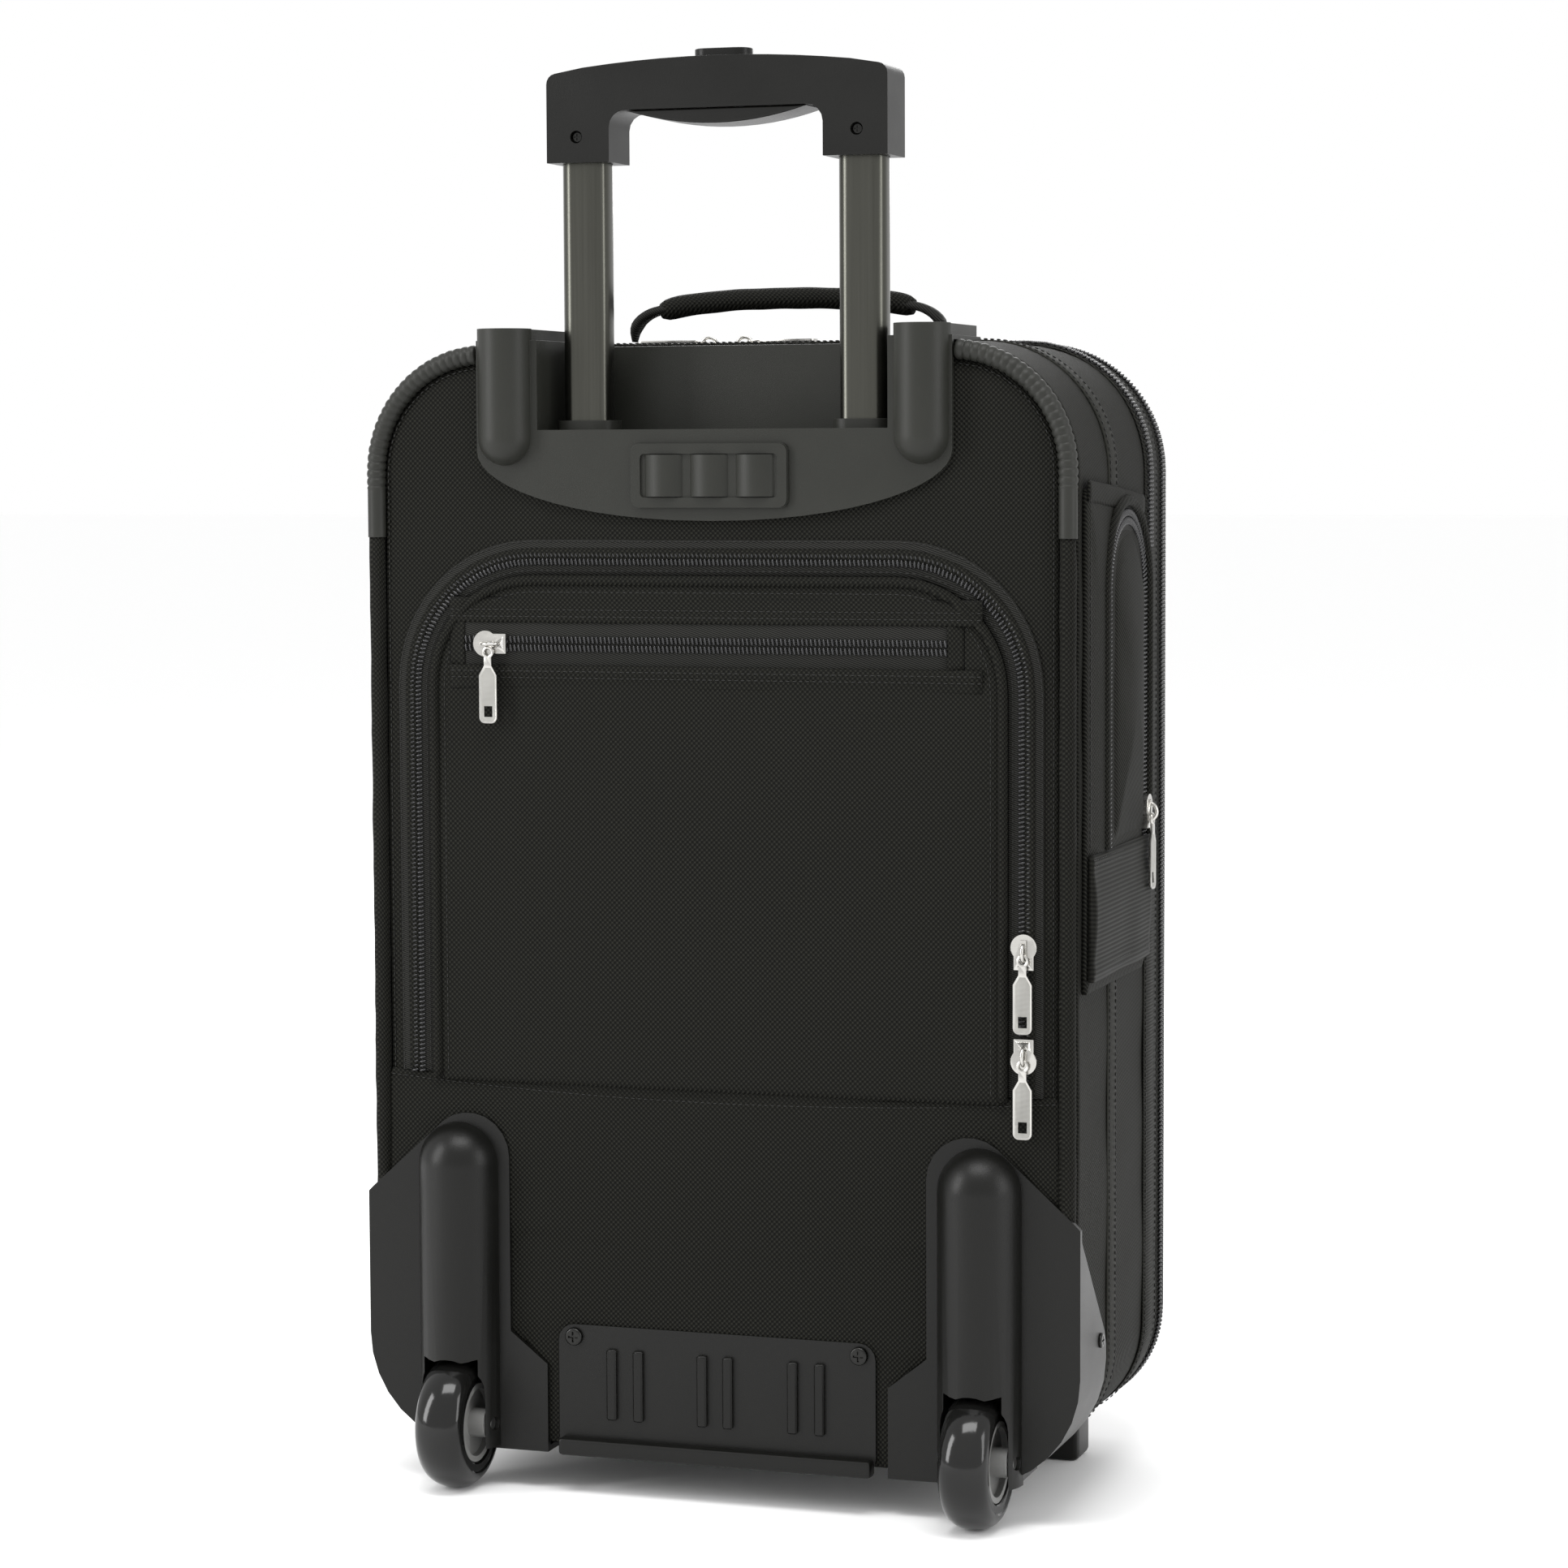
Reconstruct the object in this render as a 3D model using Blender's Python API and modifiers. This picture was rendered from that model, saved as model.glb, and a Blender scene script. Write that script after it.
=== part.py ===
"""Softside upright suitcase: cabin size, two wheels, telescopic trolley.

Metres, +Z up. The case stands upright on the floor at z = 0. Its back, which carries the
trolley and the wheels, faces -Y, and its lid faces +Y. Every place below is measured from
the back plane, the outer face of the back panel, and one empty carries the whole case to
the origin, which is the centre of its footprint.
"""
import math

import bmesh
import bpy
from mathutils import Matrix, Vector

# Fits between pieces that touch and pieces that move.
GAP = 0.0003
RUNNING = 0.0003
OVERRUN = 0.002

# Case: outline seen from the back, and its depth from back plane to lid.
CASE_HALF_WIDTH = 0.176
CASE_TOP = 0.552
CASE_BOTTOM = 0.022
TOP_CORNER_R = 0.060
BOTTOM_CORNER_R = 0.050
BODY_DEPTH = 0.160
WALL = 0.0025
PANEL_THICKNESS = 0.003
ZIP_BAND = 0.0087
ZIP_PROUD = 0.001
LID_DEPTH = 0.0157
LID_FACE = 0.003
LID_POCKET_EDGE_R = 0.003
LID_HINGE_OUTSET = 0.0015

# Edge of the back: piping, and the ribbed guards round the top corners.
PIPING_R = 0.004
GUARD_R = 0.0046
GUARD_LENGTH_DOWN = 0.031

# Trolley: rounded tubes that slide in guide tubes, latch at the foot of each.
TUBE_X = 0.069
TUBE_Y = 0.020
TUBE_WIDTH = 0.023
TUBE_DEPTH = 0.016
TUBE_CORNER_R = 0.006
TUBE_WALL = 0.0012
TUBE_SHOWING = 0.100
TROLLEY_DOWN = 0.120
TUBE_ENGAGED = 0.070
GUIDE_WALL = 0.0012
GUIDE_LOW = 0.045
FOOT_CLEARANCE = 0.010
BRACKET_HEIGHT = 0.009
BRACKET_MARGIN = 0.003
COLLAR_WIDTH = 0.003
COLLAR_HEIGHT = 0.0045
PLUG_HEIGHT = 0.023
PIN_HEIGHT = 0.012
PIN_R = 0.0025
ROD_R = 0.002
BUTTON_TRAVEL = 0.005
TUBE_TOP = CASE_TOP + TUBE_SHOWING
TUBE_LOW = GUIDE_LOW + TROLLEY_DOWN + FOOT_CLEARANCE

# Grip on top of the trolley, built round the tubes.
GRIP_OUTER_WALL = 0.004
GRIP_INNER_WALL = 0.0045
GRIP_SIDE_WALL = 0.006
GRIP_SOCKET_DEPTH = 0.014
GRIP_HEAD = 0.010
GRIP_BAND = 0.018
GRIP_CROWN_RISE = 0.006
GRIP_CORNER_R = 0.005
GRIP_EDGE_R = 0.002
BELLY_DROP = 0.007
BELLY_INSET = 0.001
GRIP_FILLET = 0.008
SLOT_SKIN = 0.0015
SLOT_DEPTH = 0.010
SLOT_HEIGHT = 0.012
YOKE_THICKNESS = 0.003
YOKE_WIDTH = 0.007
YOKE_DROP = 0.0025
BUTTON_HALF_WIDTH = 0.014
BUTTON_DEPTH = 0.014
BUTTON_RISE = 0.004
SPRING_R = 0.0038
SPRING_WIRE_R = 0.0005
SPRING_TURNS = 4
SPRING_HOLE_R = 0.0047
GRIP_HALF_WIDTH = TUBE_X + TUBE_WIDTH / 2 + GRIP_OUTER_WALL
GRIP_LEG_WIDTH = TUBE_WIDTH + GRIP_OUTER_WALL + GRIP_INNER_WALL
GRIP_DEPTH = TUBE_DEPTH + 2 * GRIP_SIDE_WALL
GRIP_LEG_BOTTOM = TUBE_TOP - GRIP_SOCKET_DEPTH
GRIP_UNDERSIDE = TUBE_TOP + GRIP_HEAD
GRIP_SHOULDER = GRIP_UNDERSIDE + GRIP_BAND
GRIP_CROWN = GRIP_SHOULDER + GRIP_CROWN_RISE
SLOT_FLOOR = GRIP_UNDERSIDE + SLOT_SKIN
SLOT_TOP = SLOT_FLOOR + SLOT_HEIGHT
BUTTON_TOP = GRIP_CROWN + BUTTON_RISE

# Top housing: back plate, two bumpers and the well that the grip drops into.
HOUSING_HEIGHT = 0.083
HOUSING_SHOULDER_DROP = 0.050
HOUSING_THICKNESS = 0.003
HOUSING_CAP = 0.0022
HOUSING_RIM = 0.001
WELL_SIDE_ROOM = 0.0025
WELL_FRONT_ROOM = 0.011
WELL_WALL = 0.0035
WELL_DROP = 0.040
BUMPER_OFFSET = 0.0165
BUMPER_R = 0.0135
BUMPER_DROP = 0.057
BUMPER_RISE = 0.008
BACK_WALL_THICKNESS = 0.002
BADGE_HALF_WIDTH = 0.039
BADGE_HEIGHT = 0.0305
BADGE_LIFT = 0.006
BADGE_RIM = 0.005
BADGE_CORNER_R = 0.004
BADGE_PLATE = 0.0012
BADGE_PAD_SWELL = 0.0045
BADGE_PADS = 3
WELL_HALF_WIDTH = GRIP_HALF_WIDTH + WELL_SIDE_ROOM
WELL_DEPTH = TUBE_Y + GRIP_DEPTH / 2 + WELL_FRONT_ROOM
WELL_FLOOR = CASE_TOP - WELL_DROP
BUMPER_X = WELL_HALF_WIDTH + BUMPER_OFFSET
BUMPER_LOW = CASE_TOP - BUMPER_DROP
BUMPER_TOP = CASE_TOP + BUMPER_RISE
HOUSING_HALF_WIDTH = BUMPER_X + BUMPER_R + HOUSING_RIM
HOUSING_LOW = CASE_TOP - HOUSING_HEIGHT
HOUSING_SHOULDER = CASE_TOP - HOUSING_SHOULDER_DROP
BADGE_LOW = HOUSING_LOW + BADGE_LIFT
BADGE_HIGH = BADGE_LOW + BADGE_HEIGHT
TROLLEY_UP = WELL_FLOOR - TUBE_ENGAGED - TUBE_LOW - PIN_HEIGHT

# Wheels and their housings.
WHEEL_INSET = 0.045
WHEEL_R = 0.032
WHEEL_HALF_WIDTH = 0.012
AXLE_Y = -0.008
AXLE_R = 0.003
AXLE_CLEARANCE = 0.0002
AXLE_RECESS = 0.0006
HUB_R = 0.0193
HUB_RIM = 0.003
HUB_WEB_INSET = 0.0015
HUB_BOSS_WALL = 0.004
TYRE_SHOULDER_R = 0.0245
WHEEL_CLEARANCE = 0.002
CHEEK_ROOM = 0.0045
CHEEK_WALL = 0.004
BOSS_CLEARANCE = 0.0008
ARCH_ROOM = 0.001
WHEEL_BOX_ROOM = 0.0065
WHEEL_BOX_WALL = 0.002
WHEEL_BOX_ROOF = 0.0085
SKIN = 0.0032
FLANGE_TOP = 0.183
FLANGE_MARGIN = 0.0005
FLANGE_SHIFT = 0.005
FLANGE_CORNER_Z = 0.142
CORNER_CUT = 0.003
PIPING_END_RISE = 0.0115
FLANGE_WAIST_Z = 0.077
FLANGE_FOOT_Z = 0.062
FLANGE_FOOT_REACH = 0.045
BULGE_SETBACK = 0.0045
WRAP_DEPTH = 0.046
WRAP_LOW_Z = 0.083
WHEEL_X = CASE_HALF_WIDTH - WHEEL_INSET
CHEEK_INNER = WHEEL_HALF_WIDTH + CHEEK_ROOM
CHEEK_OUTER = CHEEK_INNER + CHEEK_WALL
WHEEL_ARCH_TOP = 2 * WHEEL_R + ARCH_ROOM
WHEEL_BOX_DEPTH = WHEEL_R + AXLE_Y + WHEEL_BOX_ROOM
WHEEL_BOX_TOP = 2 * WHEEL_R + WHEEL_BOX_ROOF
FLANGE_R = CHEEK_OUTER + FLANGE_MARGIN
FLANGE_X = WHEEL_X - FLANGE_SHIFT
FLANGE_FOOT_X = WHEEL_X - FLANGE_FOOT_REACH
BULGE_TOP = FLANGE_TOP - BULGE_SETBACK

# Kick plate between the wheels, and the two front feet.
KICK_ROOM = 0.006
KICK_LOW = 0.0195
KICK_HIGH = 0.0825
KICK_THICKNESS = 0.003
KICK_LIP = 0.006
KICK_LIP_HEIGHT = 0.008
KICK_CORNER_R = 0.008
KICK_HALF_WIDTH = FLANGE_FOOT_X - KICK_ROOM
RIB_CENTRES = (0.0065, 0.039, 0.0525)
RIB_WIDTH = 0.005
RIB_LOW = 0.037
RIB_HIGH = 0.0715
RIB_HEIGHT = 0.0025
SCREW_INSET = 0.008
SCREW_DROP = 0.006
SCREW_HEAD_R = 0.0042
SCREW_HEAD_HEIGHT = 0.0022
SCREW_R = 0.0018
SCREW_BITE = 0.003
SCREW_REACH = 0.020
FOOT_X = CASE_HALF_WIDTH - 0.051
FOOT_Y = BODY_DEPTH - 0.022
FOOT_WIDTH = 0.040
FOOT_DEPTH = 0.024
FOOT_EDGE_R = 0.003

# Back pocket: flap, the long zip round it and the short zip across it.
FLAP_HALF_WIDTH = CASE_HALF_WIDTH - 0.035
FLAP_LOW = FLANGE_TOP + 0.0215
FLAP_HIGH = HOUSING_LOW - 0.029
FLAP_CORNER_R = 0.050
FLAP_THICKNESS = 0.003
LONG_ZIP_OFFSET = 0.0115
LONG_ZIP_WIDTH = 0.008
LONG_ZIP_THICKNESS = 0.002
SHORT_ZIP_LEFT = 0.017 - FLAP_HALF_WIDTH
SHORT_ZIP_RIGHT = FLAP_HALF_WIDTH - 0.026
SHORT_ZIP_Z = FLAP_HIGH - 0.0295
SHORT_ZIP_WIDTH = 0.009
ZIP_TAPE = 0.0008

# Side pocket on the right wall, with its arched zip and the band round it.
SIDE_POCKET_BACK = 0.010
SIDE_POCKET_FRONT = BODY_DEPTH - 0.037
SIDE_POCKET_HIGH = CASE_TOP - 0.072
SIDE_POCKET_LOW = CASE_TOP - 0.302
SIDE_POCKET_CORNER_R = 0.045
SIDE_POCKET_THICKNESS = 0.0027
SIDE_ZIP_Y = SIDE_POCKET_FRONT - 0.043
SIDE_ZIP_R = 0.035
SIDE_ZIP_TOP = SIDE_POCKET_HIGH - 0.010
SIDE_ZIP_WIDTH = 0.008
BAND_LOW = SIDE_POCKET_LOW + 0.006
BAND_HIGH = BAND_LOW + 0.059
BAND_THICKNESS = 0.0014

# Lid pocket on the front.
LID_POCKET_HALF_WIDTH = CASE_HALF_WIDTH - 0.031
LID_POCKET_LOW = CASE_BOTTOM + 0.038
LID_POCKET_HIGH = CASE_TOP - 0.122
LID_POCKET_CORNER_R = 0.035
LID_POCKET_THICKNESS = 0.0075

# Carry handle on top.
HANDLE_Y = BODY_DEPTH - 0.048
HANDLE_HALF_SPAN = 0.080
HANDLE_PIVOT_RISE = 0.0043
HANDLE_RISE = 0.0197
HANDLE_R = 0.0062
HANDLE_END_R = 0.0030

# Zip sliders and their pulls.
SLIDER_WIDTH = 0.012
SLIDER_LENGTH = 0.017
SLIDER_THICKNESS = 0.0020
SLIDER_EDGE_R = 0.0006
BAIL_RISE = 0.0042
BAIL_DROP = 0.004
BAIL_R = 0.0008
BAIL_POST = 0.0012
PULL_EYE_R = 0.0011
PULL_BARREL_R = 0.0019
PULL_LENGTH = 0.034
PULL_WIDTH = 0.0090
PULL_THICKNESS = 0.0014
PULL_CORNER_R = 0.0025
PULL_NECK = 0.0015
PULL_FLARE = 0.004
PULL_EYE_HALF_WIDTH = 0.0021
PULL_EYE_HEIGHT = 0.0045
PULL_EYE_MARGIN = 0.003
SHORT_SLIDER_X = SHORT_ZIP_LEFT + 0.013
LONG_SLIDER_UPPER_Z = FLAP_LOW + 0.0665
LONG_SLIDER_LOWER_Z = FLAP_LOW + 0.0175
SIDE_SLIDER_Z = BAND_HIGH + 0.012
MAIN_SLIDER_LEFT_X = -0.060
MAIN_SLIDER_RIGHT_X = -0.040
LID_SLIDER_X = 0.045 - LID_POCKET_HALF_WIDTH
LID_SLIDER_DROP = 0.030

# Places that follow from the dimensions above.
LID_START = BODY_DEPTH + ZIP_BAND + 2 * GAP
LID_END = LID_START + LID_DEPTH
LID_POCKET_FACE = LID_END + GAP + LID_POCKET_THICKNESS
SLIDER_REACH = GAP + BAIL_RISE + PULL_BARREL_R
FRONT_REACH = LID_POCKET_FACE + SLIDER_REACH
BACK_REACH = WHEEL_R - AXLE_Y
BACK_PLANE_Y = (BACK_REACH - FRONT_REACH) / 2
EDGE_SEAM = PIPING_R + GUARD_R + 2 * GAP
SIDES = (("left", -1), ("right", 1))

BLACK_NYLON = ((0.012, 0.012, 0.010), 0.85, 0.0)
SIDE_NYLON = ((0.018, 0.018, 0.015), 0.80, 0.0)
GREY_PLASTIC = ((0.060, 0.060, 0.050), 0.55, 0.0)
BLACK_PLASTIC = ((0.016, 0.016, 0.014), 0.50, 0.0)
GREY_RUBBER = ((0.050, 0.050, 0.042), 0.70, 0.0)
ZIP_COIL = ((0.010, 0.010, 0.011), 0.35, 0.0)
WHEEL_PU = ((0.006, 0.006, 0.006), 0.12, 0.0)
HUB_GREY = ((0.300, 0.300, 0.290), 0.40, 0.0)
ANODISED = ((0.030, 0.030, 0.026), 0.28, 1.0)
NICKEL = ((0.620, 0.600, 0.560), 0.28, 1.0)
STEEL = ((0.350, 0.350, 0.340), 0.35, 1.0)
SCREW_BLACK = ((0.020, 0.020, 0.020), 0.30, 1.0)

PLANES = {
    "XY": (0.0, 0.0, 0.0),
    "XZ": (math.pi / 2, 0.0, 0.0),
    "YZ": (math.pi / 2, 0.0, math.pi / 2),
}


# ---------------------------------------------------------------- scene and helpers

for leftover in list(bpy.data.objects):
    bpy.data.objects.remove(leftover, do_unlink=True)

parts = bpy.data.collections.new("softside_upright_suitcase")
tools = bpy.data.collections.new("cutters_and_guides")
for group in (parts, tools):
    bpy.context.scene.collection.children.link(group)


def axis_empty(name, place, parent=None):
    """An empty that carries pieces which move about it."""
    empty = bpy.data.objects.new(name, None)
    empty.location = place
    empty.parent = parent
    parts.objects.link(empty)
    return empty


case_frame = axis_empty("case_frame", (0.0, BACK_PLANE_Y, 0.0))
trolley_slide = axis_empty("trolley_slide", (0.0, TUBE_Y, WELL_FLOOR), case_frame)
hinge_place = (-CASE_HALF_WIDTH - LID_HINGE_OUTSET, BODY_DEPTH + GAP + ZIP_BAND / 2, 0.0)
lid_hinge = axis_empty("lid_hinge", hinge_place, case_frame)
handle_pivot = axis_empty("handle_pivot", (0.0, HANDLE_Y, CASE_TOP + HANDLE_PIVOT_RISE), case_frame)


def paint(part, finish):
    """Give a part its own Principled material."""
    colour, roughness, metallic = finish
    material = bpy.data.materials.new(part.name)
    material.use_nodes = True
    shader = material.node_tree.nodes["Principled BSDF"]
    shader.inputs["Base Color"].default_value = (*colour, 1.0)
    shader.inputs["Roughness"].default_value = roughness
    shader.inputs["Metallic"].default_value = metallic
    part.data.materials.clear()
    part.data.materials.append(material)


def as_part(part, finish, carrier=None):
    """Put a finished piece in the case, under the empty that it moves with."""
    parts.objects.link(part)
    if carrier:
        part.matrix_basis = Matrix.Translation(-carrier.location) @ part.matrix_basis
    part.parent = carrier or case_frame
    paint(part, finish)
    part.data.shade_smooth()
    part.data.set_sharp_from_angle(angle=math.radians(35))
    return part


def as_tool(tool):
    """Keep a shape that only cuts or joins another piece."""
    tools.objects.link(tool)
    tool.parent = case_frame
    tool.hide_render = True
    tool.display_type = "WIRE"
    return tool


def combine(part, tool, operation):
    """Cut a tool out of a part, or join it on."""
    step = part.modifiers.new(tool.name, "BOOLEAN")
    step.operation = operation
    step.solver = "EXACT"
    step.object = as_tool(tool)


def cut(part, *cutters):
    for cutter in cutters:
        combine(part, cutter, "DIFFERENCE")


def join(part, *additions):
    for addition in additions:
        combine(part, addition, "UNION")


def round_edges(part, width, segments=2):
    """Round the sharp edges of a part."""
    step = part.modifiers.new("round_edges", "BEVEL")
    step.width = width
    step.segments = segments
    step.limit_method = "ANGLE"
    step.angle_limit = math.radians(50)


def object_from(name, shape, place=(0.0, 0.0, 0.0)):
    """Turn a bmesh into an object at its place."""
    mesh = bpy.data.meshes.new(name)
    shape.to_mesh(mesh)
    shape.free()
    part = bpy.data.objects.new(name, mesh)
    part.location = place
    return part


def block(name, low, high):
    """A box between two corners."""
    low, high = Vector(low), Vector(high)
    shape = bmesh.new()
    bmesh.ops.create_cube(shape, size=1.0, matrix=Matrix.Diagonal((*(high - low), 1.0)))
    return object_from(name, shape, (low + high) / 2)


def rod(name, start, end, radius, segments=16):
    """A round bar between two points."""
    start, end = Vector(start), Vector(end)
    turn = Vector((0, 0, 1)).rotation_difference(end - start).to_matrix().to_4x4()
    shape = bmesh.new()
    bmesh.ops.create_cone(
        shape, cap_ends=True, segments=segments, radius1=radius, radius2=radius,
        depth=(end - start).length, matrix=turn,
    )
    return object_from(name, shape, (start + end) / 2)


def half_column(name, x, y, radius, low, high, dome_low=False, dome_high=False):
    """An upright half-round column behind y, with domed ends where asked."""
    steps = 8
    side = [(radius, high), (radius, low)]
    if dome_high:
        side[0:1] = arc(0.0, high - radius, radius, 90, 0, steps)
    else:
        side.insert(0, (0.0, high))
    if dome_low:
        side[-1:] = arc(0.0, low + radius, radius, 0, -90, steps)
    else:
        side.append((0.0, low))
    shape = bmesh.new()
    points = [shape.verts.new((across, 0.0, up)) for across, up in side]
    edges = [shape.edges.new(pair) for pair in zip(points, points[1:])]
    bmesh.ops.spin(
        shape, geom=points + edges, cent=(0, 0, 0), axis=(0, 0, 1),
        angle=2 * math.pi, steps=3 * steps,
    )
    bmesh.ops.remove_doubles(shape, verts=shape.verts, dist=1e-6)
    cut_off = bmesh.ops.bisect_plane(
        shape, geom=shape.verts[:] + shape.edges[:] + shape.faces[:], dist=1e-7,
        plane_co=(0, 0, 0), plane_no=(0, 1, 0), clear_outer=True,
    )
    rim = [item for item in cut_off["geom_cut"] if isinstance(item, bmesh.types.BMEdge)]
    bmesh.ops.holes_fill(shape, edges=rim)
    bmesh.ops.recalc_face_normals(shape, faces=shape.faces)
    return object_from(name, shape, (x, y, 0.0))


def arc(across, up, radius, start, end, steps=6):
    """Points of an arc in a plane, angles in degrees."""
    angles = [math.radians(start + (end - start) * i / steps) for i in range(steps + 1)]
    return [(across + radius * math.cos(a), up + radius * math.sin(a)) for a in angles]


def rounded(low_left, high_right, radius, steps=4):
    """A rounded rectangle between two corners of a plane."""
    (left, low), (right, high) = low_left, high_right
    return (
        arc(right - radius, low + radius, radius, -90, 0, steps)
        + arc(right - radius, high - radius, radius, 0, 90, steps)
        + arc(left + radius, high - radius, radius, 90, 180, steps)
        + arc(left + radius, low + radius, radius, 180, 270, steps)
    )


def case_outline(outset=0.0, steps=10):
    """The case seen from the back, moved outwards by outset."""
    half = CASE_HALF_WIDTH
    top_x, top_z = half - TOP_CORNER_R, CASE_TOP - TOP_CORNER_R
    low_x, low_z = half - BOTTOM_CORNER_R, CASE_BOTTOM + BOTTOM_CORNER_R
    return (
        arc(low_x, low_z, BOTTOM_CORNER_R + outset, -90, 0, steps)
        + arc(top_x, top_z, TOP_CORNER_R + outset, 0, 90, steps)
        + arc(-top_x, top_z, TOP_CORNER_R + outset, 90, 180, steps)
        + arc(-low_x, low_z, BOTTOM_CORNER_R + outset, 180, 270, steps)
    )


def tube_section(grow=0.0):
    """The trolley tube's rounded section, grown on every side."""
    half, deep = TUBE_WIDTH / 2 + grow, TUBE_DEPTH / 2 + grow
    return rounded((-half, -deep), (half, deep), TUBE_CORNER_R + grow)


def mesh_of(curve):
    """A curve object's solid as an object of its own, in the curve's place."""
    bpy.context.scene.collection.objects.link(curve)
    bpy.context.view_layer.update()
    evaluated = curve.evaluated_get(bpy.context.evaluated_depsgraph_get())
    mesh = bpy.data.meshes.new_from_object(evaluated)
    shape = bmesh.new()
    shape.from_mesh(mesh)
    bmesh.ops.remove_doubles(shape, verts=shape.verts, dist=1e-6)
    bmesh.ops.recalc_face_normals(shape, faces=shape.faces)
    shape.to_mesh(mesh)
    shape.free()
    name = curve.name
    place = curve.matrix_world.copy()
    bpy.data.objects.remove(curve, do_unlink=True)
    part = bpy.data.objects.new(name, mesh)
    part.matrix_world = place
    return part


def plate(name, outlines, thickness, centre, plane="XZ"):
    """A flat part: outlines filled, with holes where one lies in another."""
    curve = bpy.data.curves.new(name, "CURVE")
    curve.dimensions = "2D"
    curve.fill_mode = "BOTH"
    curve.extrude = thickness / 2
    for outline in outlines:
        spline = curve.splines.new("POLY")
        spline.points.add(len(outline) - 1)
        for point, (across, up) in zip(spline.points, outline):
            point.co = (across, up, 0.0, 1.0)
        spline.use_cyclic_u = True
    flat = bpy.data.objects.new(name, curve)
    flat.location = centre
    flat.rotation_euler = PLANES[plane]
    return mesh_of(flat)


def plate_between(name, outlines, start, end, plane="XZ"):
    """A flat part that runs from one depth to another across its plane."""
    middle = (start + end) / 2
    centre = {"XZ": (0, middle, 0), "XY": (0, 0, middle), "YZ": (middle, 0, 0)}[plane]
    return plate(name, outlines, abs(end - start), centre, plane)


def swept(name, path, radius, taper=None, resolution=2):
    """A round cord along a path, thinner where taper says."""
    curve = bpy.data.curves.new(name, "CURVE")
    curve.dimensions = "3D"
    curve.bevel_depth = radius
    curve.bevel_resolution = resolution
    curve.use_fill_caps = True
    spline = curve.splines.new("POLY")
    spline.points.add(len(path) - 1)
    for index, place in enumerate(path):
        spline.points[index].co = (*place, 1.0)
        spline.points[index].radius = taper[index] if taper else 1.0
    return mesh_of(bpy.data.objects.new(name, curve))


def turned(name, profile, place, steps=32):
    """A ring turned about X from a closed profile of (radius, along)."""
    shape = bmesh.new()
    points = [shape.verts.new((radius, 0.0, along)) for radius, along in profile]
    for first, second in zip(points, points[1:] + points[:1]):
        shape.edges.new((first, second))
    ring = object_from(name, shape, place)
    ring.rotation_euler = (0.0, math.pi / 2, 0.0)
    step = ring.modifiers.new("turn", "SCREW")
    step.axis = "Z"
    step.steps = steps
    step.render_steps = steps
    step.use_merge_vertices = True
    step.merge_threshold = 0.00001
    step.use_smooth_shade = True
    return ring


# ---------------------------------------------------------------- case body

def build_gusset():
    """The fabric wall round the case, open to the lid, cut for the well and the wheels."""
    start = PIPING_R / 2 + GUARD_R + GAP
    gusset = plate_between("gusset", [case_outline(), case_outline(-WALL)], start, BODY_DEPTH)
    reach = WELL_HALF_WIDTH + WELL_WALL + GAP
    depth = WELL_DEPTH + BACK_WALL_THICKNESS + 2 * GAP
    above = CASE_TOP + OVERRUN
    cut(gusset, block("gusset_well_cut", (-reach, -depth, WELL_FLOOR), (reach, depth, above)))
    cut_wheel_boxes(gusset)
    as_part(gusset, SIDE_NYLON)


def cut_wheel_boxes(part):
    """Openings for the boxes that the wheels turn in."""
    half = CHEEK_INNER + WHEEL_BOX_WALL + GAP
    depth = WHEEL_BOX_DEPTH + GAP
    for side, sign in SIDES:
        middle = sign * WHEEL_X
        cut(part, block(
            f"{part.name}_wheel_cut_{side}", (middle - half, -depth, -WHEEL_R),
            (middle + half, depth, WHEEL_BOX_TOP + GAP),
        ))


def build_back_panel():
    """Board and fabric across the back, inside the piping."""
    panel = plate_between("back_panel", [case_outline(-EDGE_SEAM)], 0.0, PANEL_THICKNESS)
    reach = WELL_HALF_WIDTH + WELL_WALL + GAP
    floor = WELL_FLOOR - WELL_WALL - GAP
    cut(panel, block("panel_well_cut", (-reach, -WELL_DEPTH, floor), (reach, WELL_DEPTH, CASE_TOP)))
    cut_wheel_boxes(panel)
    for side, sign in SIDES:
        x, z = sign * (KICK_HALF_WIDTH - SCREW_INSET), KICK_HIGH - SCREW_DROP
        hole = rod(f"panel_screw_hole_{side}", (x, -SCREW_REACH, z), (x, SCREW_REACH, z), SCREW_R + GAP)
        cut(panel, hole)
    as_part(panel, BLACK_NYLON)


def edge_path(sign):
    """The piping's centre line from the housing round the corner and down."""
    inset = PIPING_R
    corner = arc(
        CASE_HALF_WIDTH - TOP_CORNER_R, CASE_TOP - TOP_CORNER_R, TOP_CORNER_R - inset, 90, 0, 10
    )
    start = [(HOUSING_HALF_WIDTH + GAP + GUARD_R / 8, CASE_TOP - inset)]
    bend = [point for point in corner if point[0] > start[0][0] + PIPING_R]
    guard_end = CASE_TOP - TOP_CORNER_R - GUARD_LENGTH_DOWN
    guard = start + bend + [(bend[-1][0], guard_end)]
    cord = [(bend[-1][0], guard_end - GAP), (bend[-1][0], FLANGE_CORNER_Z + PIPING_END_RISE)]
    return [[(sign * x, PIPING_R / 8, z) for x, z in run] for run in (guard, cord)]


def build_piping():
    """Fabric piping down each back edge, and the ribbed rubber guard over each top corner."""
    for side, sign in SIDES:
        guard, cord = edge_path(sign)
        as_part(swept(f"corner_guard_{side}", guard, GUARD_R), GREY_RUBBER)
        as_part(swept(f"piping_{side}", cord, PIPING_R), BLACK_NYLON)


# ---------------------------------------------------------------- top housing

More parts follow.
